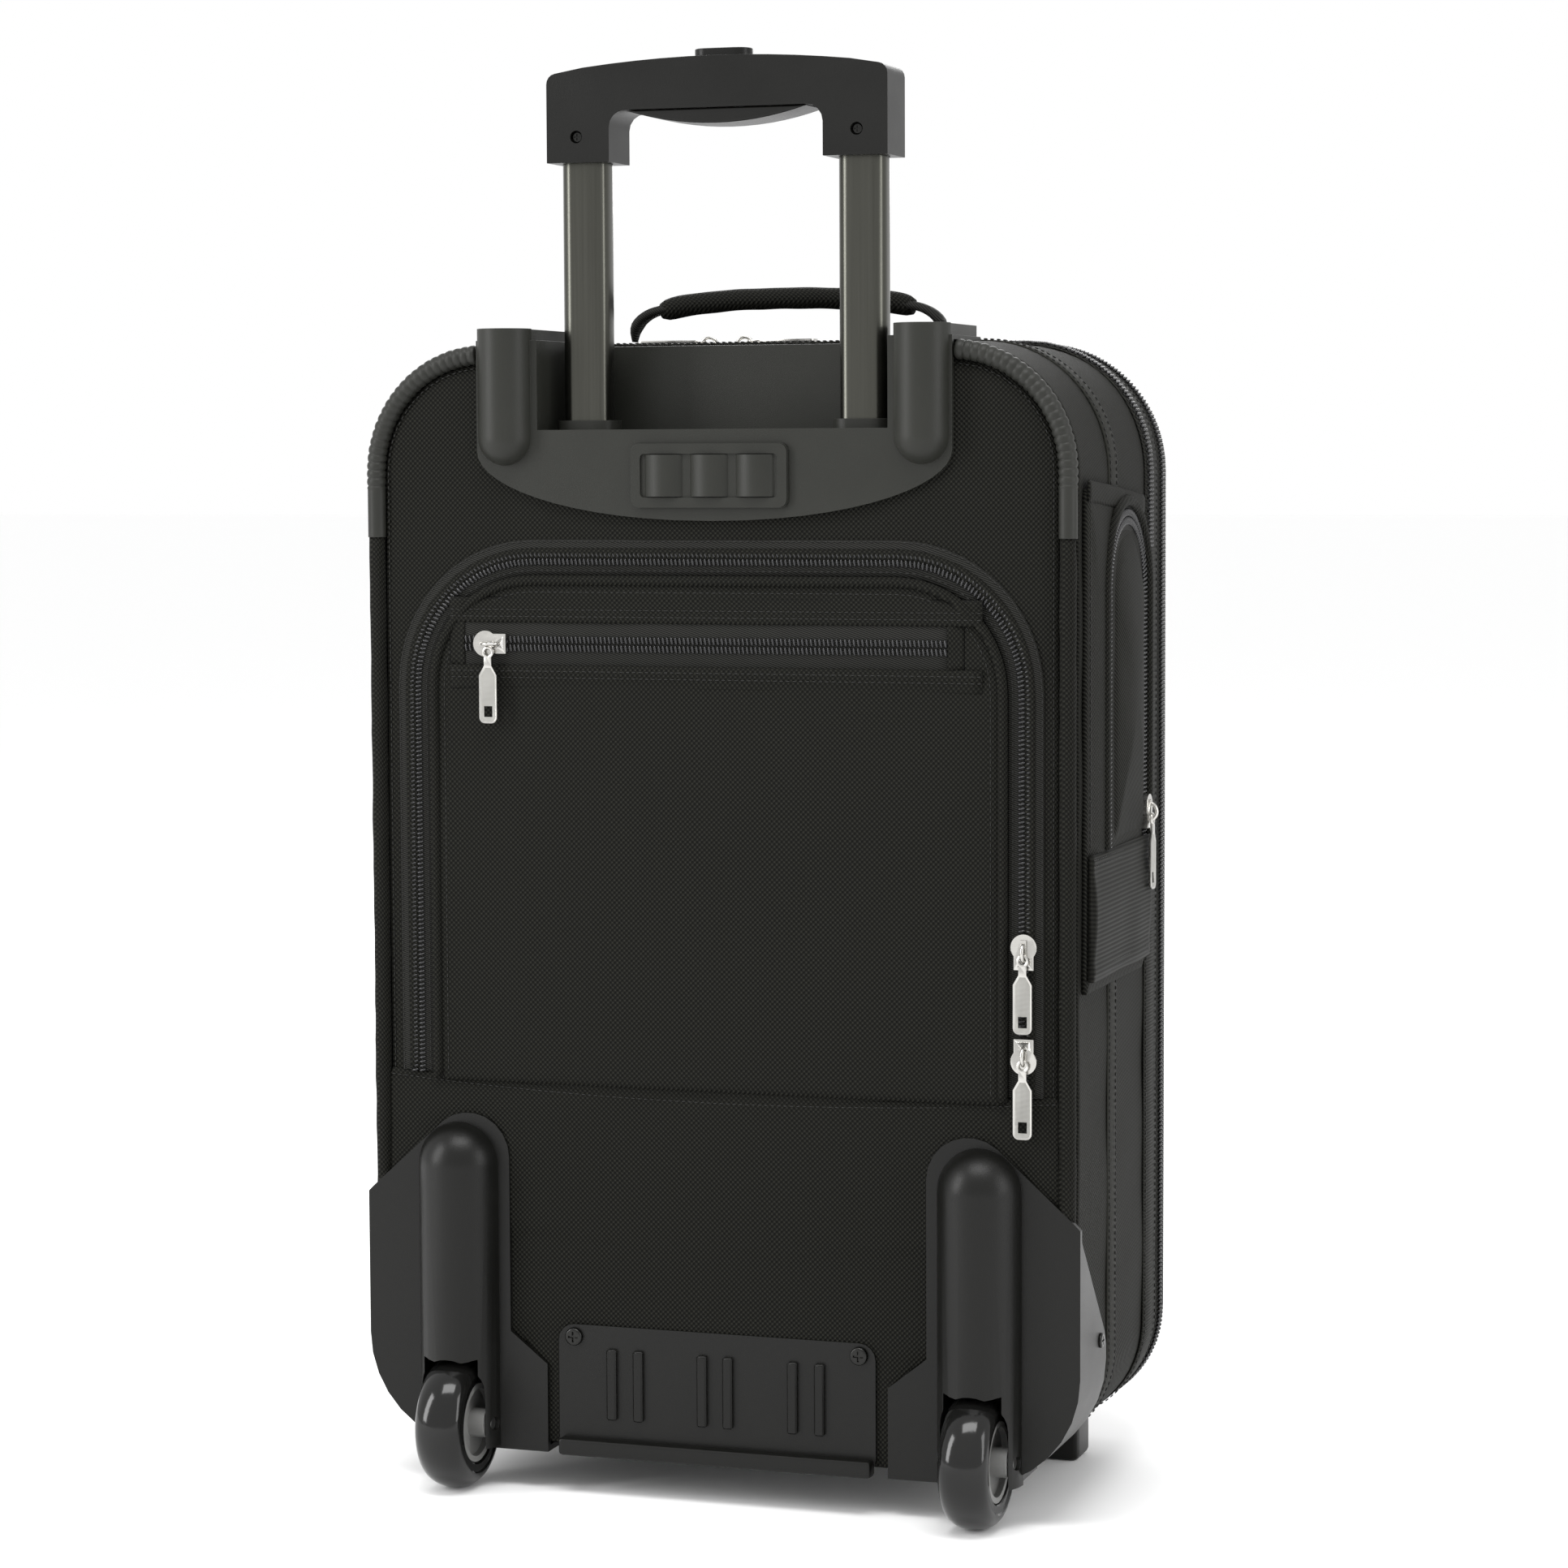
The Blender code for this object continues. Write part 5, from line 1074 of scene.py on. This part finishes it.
arch_line = doorway(ARCH_HALF, arch_low.z, arch_high.z - 0.004, ARCH_HALF * 0.995, ARCH_MIDDLE)
arch_tape = swept(
    "arch_zip_tape", on_right(arch_line, -0.0002), flat_section(0.013, 0.0009), 0.003, outward=RIGHT
)
dress(arch_tape, zip_tape, replaces=["side_pocket_zip"])
coil_rows("arch_zip", on_right(arch_line, 0.0010), RIGHT)
arch_inside = doorway(ARCH_HALF - 0.006, arch_low.z, arch_high.z - 0.010, ARCH_HALF - 0.0065, ARCH_MIDDLE)
inside_profile = [(0, 0.0), (1.0, 0.0), (1.0, 0.0010), (0.95, 0.0022)] + crowned(8, 0.0024, 0.0050)
flap_face = ringed(
    "side_pocket_flap", arch_inside, inside_profile,
    facing("right", ARCH_FACE - 0.0006), (ARCH_MIDDLE, 0.385), 0.004,
)
ripple(flap_face, 0.0006, 0.025, 9.0)
dress(flap_face, side_nylon)
welt_line = doorway(
    ARCH_HALF + 0.0076, arch_low.z, arch_high.z + 0.0036, ARCH_HALF * 0.995 + 0.0076, ARCH_MIDDLE
)
arch_welt = swept("arch_welt", on_right(welt_line, 0.0010), round_section(0.0026, 12), 0.003, outward=RIGHT)
dress(arch_welt, back_nylon)

belt_low, belt_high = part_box("side_band")
BELT_CLOTH, BELT_HEM, BELT_PUFF = 0.0014, 0.0008, 0.0022
belt_section = [(belt_low.z, 0.0)]
for share in (step / 14 for step in range(15)):
    height = belt_low.z + (belt_high.z - belt_low.z) * share
    hem = BELT_HEM if share < 0.09 or share > 0.91 else 0.0
    belt_section.append((height, BELT_CLOTH + hem + BELT_PUFF * math.sin(math.pi * share)))
belt_section.append((belt_high.z, 0.0))
belt_path = [(belt_low.x, belt_low.y, 0.0), (belt_low.x, belt_high.y, 0.0)]
belt = swept("side_belt", belt_path, [(-p, q) for p, q in belt_section], 0.004, outward=RIGHT)
ripple(belt, 0.0006, 0.03, 6.0)
belt_cloth = grosgrain_finish("belt_twill", (0.0066, 0.0066, 0.0055), 0.0021, "Z")
dress(belt, belt_cloth, replaces=["side_band"])
for name, z in (("low_a", 0.2585), ("low_b", 0.2615), ("high_a", 0.3125), ("high_b", 0.3095)):
    seam = [(belt_low.x + 0.0024, y, z) for y in (belt_low.y + 0.002, belt_high.y - 0.002)]
    stitched(f"belt_seam_{name}", seam, RIGHT)
rear_seam = [(pocket_low.x + 0.0030, pocket_low.y + 0.004, z) for z in (0.319, pocket_high.z - 0.002)]
stitched("pocket_rear_seam", rear_seam, RIGHT)
strip_x = pocket_low.x + 0.0022
strip_path = [(strip_x, pocket_low.y, pocket_high.z + 0.003)]
strip_path += [(strip_x, pocket_high.y - 0.006, pocket_high.z - 0.005)]
top_strip = swept("pocket_top_strip", strip_path, flat_section(0.009, 0.0014, 0.8), 0.004, outward=RIGHT)
ripple(top_strip, 0.0003, 0.02, 8.0)
dress(top_strip, side_nylon)

# ---------------------------------------------------------------- mouth zip and second zip
# The zip round the mouth of the case parts along its two rows: one row stays on the case
# and the other opens with the lid. A shorter zip runs in the tape beside it, top right.

main_low, main_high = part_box("main_zip")
MOUTH_Y = (main_low.y + main_high.y) / 2
MOUTH_TAPE = 0.0048
HINGE_LOW, HINGE_HIGH = CASE_BOTTOM + BOTTOM_CORNER_R, CASE_TOP - TOP_CORNER_R
COIL_CLEAR, TAPE_CLEAR = 0.022, 0.016


def mouth_run(outset, clear):
    """Round the bottom, the right and the top of the mouth, ending clear of its hinge."""
    around = [point for point in case_line(outset) if point[0] > clear - HALF_WIDTH]
    bottom_left = [point for point in around if point[0] < 0 and point[1] < HINGE_LOW]
    return bottom_left + [point for point in around if point not in bottom_left]


for name, body, y, width in (
    ("mouth_zip_tape_case", "case", MOUTH_Y - MOUTH_TAPE / 2 - 0.0002, MOUTH_TAPE),
    ("mouth_zip_tape_lid", "lid", MOUTH_Y + MOUTH_TAPE / 2 + 0.0008, MOUTH_TAPE + 0.0014),
):
    band_path = outline_path(mouth_run(-0.0006, TAPE_CLEAR), y)
    band = swept(name, band_path, flat_section(width, 0.0013), 0.005, across=FRONT)
    dress(band, zip_tape, body, ["main_zip"] if body == "case" else [])
mouth_rise = main_high.x - HALF_WIDTH + 0.0006
mouth_path = outline_path(mouth_run(mouth_rise, COIL_CLEAR), MOUTH_Y)
coil_rows("mouth_zip", mouth_path, across=FRONT, bodies=("lid", "case"))

# the hinge is a doubled strip of the wall's cloth, sewn to the case and to the lid
HINGE_WIDTH, HINGE_CLOTH, HINGE_LAYS = 0.016, 0.0013, 12
strip = [(HINGE_WIDTH * (i / HINGE_LAYS - 0.5), HINGE_CLOTH) for i in range(HINGE_LAYS + 1)]
strip += [(p, 0.0) for p, _ in reversed(strip)]
hinge_line = [(-HALF_WIDTH - 0.0002, MOUTH_Y, z) for z in (HINGE_LOW, HINGE_HIGH)]
hinge = swept("hinge_cloth", hinge_line, strip, 0.006, outward=(-1, 0, 0))
hinge.data.materials.append(side_nylon)
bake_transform(hinge)
SECOND_RISE, SECOND_Y = 0.0024, BACK + 0.1355
second_line = [(HALF_WIDTH + SECOND_RISE, 0.455), (HALF_WIDTH + SECOND_RISE, HINGE_HIGH)]
second_line += arc(HALF_WIDTH - TOP_CORNER_R, HINGE_HIGH, TOP_CORNER_R + SECOND_RISE, 0, 90)
second_line += [(0.090, CASE_TOP + SECOND_RISE)]
coil_rows("second_zip", outline_path(second_line, SECOND_Y), across=FRONT)

# ---------------------------------------------------------------- lid
# A foam-filled nylon lid, rounded over at its rim and hollow behind, hung on a cloth hinge
# down its left side. A flat pocket covers most of it.

lid_low, lid_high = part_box("lid_shell")
lid_depth = lid_high.y - lid_low.y
lid_profile = [(1.0, 0.0003), (1.0, lid_depth * 0.35), (0.9985, lid_depth * 0.62), (0.990, lid_depth * 0.85)]
lid_profile += [(0.975, lid_depth * 0.96), (0.955, lid_depth)]
lid_profile += crowned(16, lid_depth, 0.0008)
lid_outline = [(-u, v) for u, v in case_line()]
lid = ringed("lid_cover", lid_outline, lid_profile, facing("front", lid_low.y), (0.0, CASE_MIDDLE), 0.006)
thicken(lid, 0.0022, FRONT, inner_finish=1)
dress(lid, [side_nylon, lining], "lid", ["lid_shell"])

pad_low, pad_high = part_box("lid_pocket")
pad_depth = pad_high.y - pad_low.y
PAD_CORNER_R = 0.035
pad_half, pad_mid = pad_high.x, (pad_low.z + pad_high.z) / 2
pad_outline = (
    arc(pad_half - PAD_CORNER_R, pad_low.z + PAD_CORNER_R, PAD_CORNER_R, -90, 0)
    + arc(pad_half - PAD_CORNER_R, pad_high.z - PAD_CORNER_R, PAD_CORNER_R, 0, 90)
    + arc(PAD_CORNER_R - pad_half, pad_high.z - PAD_CORNER_R, PAD_CORNER_R, 90, 180)
    + arc(PAD_CORNER_R - pad_half, pad_low.z + PAD_CORNER_R, PAD_CORNER_R, 180, 270)
)
pad_profile = [(0, 0.0), (1.0, 0.0), (1.0, pad_depth * 0.35), (0.99, pad_depth * 0.62)]
pad_profile += [(0.965, pad_depth * 0.84), (0.93, pad_depth * 0.93)] + crowned(14, pad_depth * 0.96, 0.0)[1:]
pad = ringed("lid_pocket_pad", pad_outline, pad_profile, facing("front", pad_low.y), (0.0, pad_mid), 0.006)
plump(pad, lambda place: place.y < pad_low.y + pad_depth * 0.4, 2.0, 0.0015)
dress(pad, back_nylon, "lid", ["lid_pocket"])
lid_welt_path = [(u * 1.006, pad_low.y + 0.0022, pad_mid + (v - pad_mid) * 1.004) for u, v in pad_outline]
lid_welt = swept(
    "lid_pocket_welt", lid_welt_path, round_section(0.0024, 12), 0.005, outward=FRONT, closed=True
)
dress(lid_welt, back_nylon, "lid")
LID_ZIP_Z = pad_high.z - 0.030
LID_ZIP_HALF = 0.112


def across_lid(lift, height):
    return [(x, pad_high.y + lift, height) for x in (-LID_ZIP_HALF, 0.0, LID_ZIP_HALF)]


lid_tape = swept(
    "lid_zip_tape", across_lid(-0.0006, LID_ZIP_Z), flat_section(0.013, 0.0009), 0.008, outward=FRONT
)
dress(lid_tape, zip_tape, "lid")
coil_rows("lid_zip", across_lid(0.0004, LID_ZIP_Z), FRONT, bodies=("lid", "lid"))
for row, shift in enumerate((0.0090, -0.0090)):
    stitched(f"lid_zip_seam_{row + 1}", across_lid(0.0004, LID_ZIP_Z + shift), FRONT, body="lid")

# ---------------------------------------------------------------- carry handle
# A padded nylon grip on webbing, whose ends go down into stitched patches on top.

handle_low, handle_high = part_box("carry_handle")
HANDLE_Y = (handle_low.y + handle_high.y) / 2
HANDLE_HALF = 0.080
HANDLE_FOOT_Z = handle_low.z + 0.0006
PAD_R, PAD_WIDE_R = 0.0058, 0.0062
pad_top = handle_high.z - PAD_R
arch_points = [(-HANDLE_HALF, HANDLE_FOOT_Z), (-HANDLE_HALF + 0.001, HANDLE_FOOT_Z + 0.006)]
arch_points += [(-0.0745, HANDLE_FOOT_Z + 0.0115), (-0.062, pad_top - 0.0045)]
arch_points += [(-0.040, pad_top - 0.0015), (0.0, pad_top)]
arch_points += [(-x, z) for x, z in reversed(arch_points[:-1])]
bend = bpy.data.curves.new("handle_bend", "CURVE")
bend.dimensions = "3D"
bend.resolution_u = 12
spline = bend.splines.new("BEZIER")
spline.bezier_points.add(len(arch_points) - 1)
for point, (x, z) in zip(spline.bezier_points, arch_points):
    point.co = (x, HANDLE_Y, z)
    point.handle_left_type = point.handle_right_type = "AUTO"
bend_object = bpy.data.objects.new("handle_bend", bend)
scene.collection.objects.link(bend_object)
only(bend_object)
bpy.ops.object.convert(target="MESH")
handle_line = [tuple(vertex.co) for vertex in bend_object.data.vertices]
bpy.data.objects.remove(bend_object, do_unlink=True)
grip_line = [place for place in handle_line if abs(place[0]) < 0.066]


def rounded_ends(share):
    """Full in the middle, drawn in where the padding is sewn shut."""
    end = min(share, 1 - share) / 0.06
    return 1.0 if end > 1 else 0.72 + 0.28 * math.sqrt(max(0.0, 1 - (1 - end) ** 2))


pad_section = [(u, v * (0.86 if v < 0 else 1.0)) for u, v in round_section(1.0, 20)]
pad_section = [(PAD_WIDE_R * u, PAD_R * v) for u, v in pad_section]
handle_pad = swept("handle_pad", grip_line, pad_section, 0.003, across=REAR, swell=rounded_ends)
ripple(handle_pad, 0.0005, 0.014, 1.0)
dress(handle_pad, back_nylon, "carry_handle", ["carry_handle"])
PATCH_X = 0.0870
webbing = grosgrain_finish("handle_webbing", (0.011, 0.011, 0.010), 0.0014, "XZ")
for side, sign in SIDES:
    strap_line = [place for place in handle_line if sign * place[0] > 0.058]
    strap = swept(
        f"handle_strap_{side}", strap_line, [(p, q - 0.001) for p, q in flat_section(0.0105, 0.0038)], 0.002,
        across=REAR, swell=lambda share, sign=sign: min(1.0, 0.42 + 2.4 * (share if sign < 0 else 1 - share)),
    )
    dress(strap, webbing, "carry_handle")
    patch_x = sign * PATCH_X
    patch_outline = [
        (patch_x + u, HANDLE_Y + v)
        for u, v in arc(0.012, -0.006, 0.003, -90, 0, 4) + arc(0.012, 0.006, 0.003, 0, 90, 4)
        + arc(-0.012, 0.006, 0.003, 90, 180, 4) + arc(-0.012, -0.006, 0.003, 180, 270, 4)
    ]
    patch = ringed(
        f"handle_patch_{side}", patch_outline,
        [(0, 0.0), (1.0, 0.0), (1.0, 0.0010), (0.9, 0.0018), (0.5, 0.0021), (0, 0.0022)],
        facing("top", CASE_TOP + 0.0006), (patch_x, HANDLE_Y), 0.0015,
    )
    dress(patch, back_nylon)
    inner = [
        (patch_x + (u - patch_x) * 0.8, HANDLE_Y + (v - HANDLE_Y) * 0.7, CASE_TOP + 0.0026)
        for u, v in patch_outline
    ]
    stitched(f"handle_patch_seam_{side}", inner, (0, 0, 1), closed=True)

# ---------------------------------------------------------------- sliders and pulls
# Die-cast zinc sliders in satin nickel plate. Each pull swings on its slider's bail.

nickel_finish, nickel_tree, nickel_shader = finish_of("satin_nickel", (0.52, 0.51, 0.48), 0.26, 1.0)
nickel_place = own_place(nickel_tree)
handled = grain(nickel_tree, nickel_place, 160.0, 4.0)
nickel_tone = between(nickel_tree, handled, (0.44, 0.43, 0.41), (0.58, 0.57, 0.54))
nickel_tree.links.new(nickel_tone, nickel_shader.inputs["Base Color"])
nickel_gloss = calc(nickel_tree, "MULTIPLY_ADD", handled, 0.14, 0.17)
nickel_tree.links.new(nickel_gloss, nickel_shader.inputs["Roughness"])
raise_by(nickel_tree, nickel_shader, grain(nickel_tree, nickel_place, 1500.0), 0.00002)


def pick(piece, choose, kind="FACE"):
    """In edit mode, with only the chosen faces, edges or points selected."""
    only(piece)
    bpy.ops.object.mode_set(mode="EDIT")
    bpy.ops.mesh.select_mode(type=kind)
    bpy.ops.mesh.select_all(action="DESELECT")
    shape = bmesh.from_edit_mesh(piece.data)
    for part in {"FACE": shape.faces, "EDGE": shape.edges, "VERT": shape.verts}[kind]:
        part.select_set(bool(choose(part)))
    shape.select_flush_mode()
    bmesh.update_edit_mesh(piece.data)


def place_at(piece, name, matrix):
    """A copy of a piece, with its own mesh, put in its place on the case."""
    copy = bpy.data.objects.new(name, piece.data.copy())
    copy.data.transform(matrix)
    scene.collection.objects.link(copy)
    return copy


BAIL_RING, BAIL_WIRE = 0.0043, 0.0009
PULL_LONG, PULL_WIDE, PULL_THICK = 0.0340, 0.0090, 0.0015
PULL_NECK_LOW, PULL_SHOULDER = 0.0065, 0.0110
BARREL_R = 0.0019

# the slider's body, with a round nose and a square tail, and its D-shaped bail
bpy.ops.object.select_all(action="DESELECT")
bpy.ops.mesh.primitive_cylinder_add(
    vertices=32, radius=0.0062, depth=0.0028, location=(0, -0.0014, 0.0020), rotation=(math.pi / 2, 0, 0)
)
slider_shape = bpy.context.object
bpy.ops.object.transform_apply(location=True, rotation=True, scale=True)
bpy.ops.mesh.primitive_cube_add(size=1.0, location=(0, -0.00135, -0.0040), scale=(0.0094, 0.0027, 0.0088))
cut_or_join(slider_shape, bpy.context.object, "UNION")
bpy.ops.mesh.primitive_cube_add(size=1.0, location=(0, -0.0030, 0.0016), scale=(0.0030, 0.0016, 0.0078))
cut_or_join(slider_shape, bpy.context.object, "UNION")
round_edges(slider_shape, 0.0005, 3, 40)
apply_modifiers(slider_shape)
bpy.ops.mesh.primitive_torus_add(
    major_radius=BAIL_RING, minor_radius=BAIL_WIRE, major_segments=32, minor_segments=10,
    location=(0, -0.0020, -0.0004), rotation=(0, math.pi / 2, 0),
)
cut_or_join(slider_shape, bpy.context.object, "UNION")
smooth_up_to(slider_shape, 40)

# the pull: a tapered tab with a raised border, an eye at each end and a knurled field
bpy.ops.object.select_all(action="DESELECT")
tab_top, tab_foot = -0.0024, -PULL_LONG
bpy.ops.mesh.primitive_cube_add(
    size=1.0, location=(0, 0, (tab_top + tab_foot) / 2), scale=(PULL_WIDE, PULL_THICK, tab_top - tab_foot)
)
pull_shape = bpy.context.object
bpy.ops.object.transform_apply(location=True, rotation=True, scale=True)
for height in (-PULL_NECK_LOW, -PULL_SHOULDER):
    pick(pull_shape, lambda face: True)
    bpy.ops.mesh.bisect(plane_co=(0, 0, height), plane_no=(0, 0, 1))
    bpy.ops.object.mode_set(mode="OBJECT")
pick(pull_shape, lambda point: point.co.z > -PULL_NECK_LOW - 0.0005, "VERT")
bpy.ops.transform.resize(value=(0.42, 1, 1))
bpy.ops.object.mode_set(mode="OBJECT")
pick(pull_shape, lambda edge: all(point.co.z < tab_foot + 1e-5 for point in edge.verts)
     and abs(edge.verts[0].co.x - edge.verts[1].co.x) < 1e-6, "EDGE")
bpy.ops.mesh.bevel(offset=0.0028, segments=5)
bpy.ops.object.mode_set(mode="OBJECT")
for way in (-1, 1):
    pick(pull_shape, lambda face: face.normal.y * way > 0.9 and face.calc_center_median().z < -PULL_NECK_LOW)
    bpy.ops.mesh.inset(thickness=0.0009, depth=-0.0003)
    bpy.ops.object.mode_set(mode="OBJECT")
bpy.ops.mesh.primitive_cube_add(
    size=1.0, location=(0, 0, tab_foot + 0.0056), scale=(0.0042, 0.0060, 0.0052)
)
cut_or_join(pull_shape, bpy.context.object)
bpy.ops.mesh.primitive_torus_add(
    major_radius=0.0023, minor_radius=0.0008, major_segments=24, minor_segments=8,
    rotation=(math.pi / 2, 0, 0),
)
cut_or_join(pull_shape, bpy.context.object, "UNION")
round_edges(pull_shape, 0.0002, 2, 40)
apply_modifiers(pull_shape)
smooth_up_to(pull_shape, 35)

knurl_finish, knurl_tree, knurl_shader = finish_of("knurled_nickel", (0.36, 0.355, 0.335), 0.34, 1.0)
knurl_axes = parted(knurl_tree, own_place(knurl_tree))
knurl_flat = calc(knurl_tree, "ADD", knurl_axes["X"], knurl_axes["Y"])
grooves = []
for slant in ("ADD", "SUBTRACT"):
    slope = calc(knurl_tree, slant, knurl_flat, knurl_axes["Z"])
    grooves.append(calc(knurl_tree, "SINE", calc(knurl_tree, "MULTIPLY", slope, 7000.0)))
raise_by(knurl_tree, knurl_shader, calc(knurl_tree, "MULTIPLY", *grooves), 0.00012)

# each on its own zip: which way it faces, which way it hangs, and which way its nose points
REAR_WAY, RIGHT_WAY = Matrix.Identity(3), Matrix.Rotation(math.pi / 2, 3, "Z")
FRONT_WAY = Matrix.Rotation(math.pi, 3, "Z")
TOP_LEFT_WAY = Matrix(((0, 0, 1), (-1, 0, 0), (0, -1, 0)))
TOP_RIGHT_WAY = Matrix(((0, 0, -1), (1, 0, 0), (0, -1, 0)))
for name, way, nose in (
    ("flap", REAR_WAY, -90), ("back_pocket_upper", REAR_WAY, 0), ("back_pocket_lower", REAR_WAY, 180),
    ("side_pocket", RIGHT_WAY, 0), ("main_left", TOP_LEFT_WAY, 180), ("main_right", TOP_RIGHT_WAY, 180),
    ("lid_pocket", FRONT_WAY, -90),
):
    outward, upward = way @ Vector((0, -1, 0)), way @ Vector((0, 0, 1))
    pull_low, pull_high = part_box(f"{name}_pull")
    reach = (pull_high - pull_low).dot(Vector([abs(value) for value in upward])) / 2
    pivot = (pull_low + pull_high) / 2 + upward * (reach - BARREL_R)
    seat_low, seat_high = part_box(f"{name}_slider")
    depth = (seat_high - seat_low).dot(Vector([abs(value) for value in outward])) / 2
    seat = (seat_low + seat_high) / 2 - outward * depth
    ring = Matrix.Translation(seat) @ way.to_4x4()
    body = place_at(slider_shape, f"{name}_cast_slider", ring @ Matrix.Rotation(math.radians(nose), 4, "Y"))
    dress(body, nickel_finish, f"{name}_slider", [f"{name}_slider"])
    tab = place_at(pull_shape, f"{name}_cast_pull", Matrix.Translation(pivot) @ way.to_4x4())
    dress(tab, [nickel_finish, knurl_finish], f"{name}_pull", [f"{name}_pull"])
    inverse = way.inverted()
    for face in tab.data.polygons:
        spot = inverse @ (face.center - pivot)
        sunk = abs(spot.y) < PULL_THICK / 2 - 0.0002 and abs((inverse @ face.normal).y) > 0.9
        face.material_index = 1 if sunk and spot.z < -PULL_SHOULDER * 0.8 else 0
for unit in (slider_shape, pull_shape, one_stitch, one_loop):
    bpy.data.objects.remove(unit, do_unlink=True)
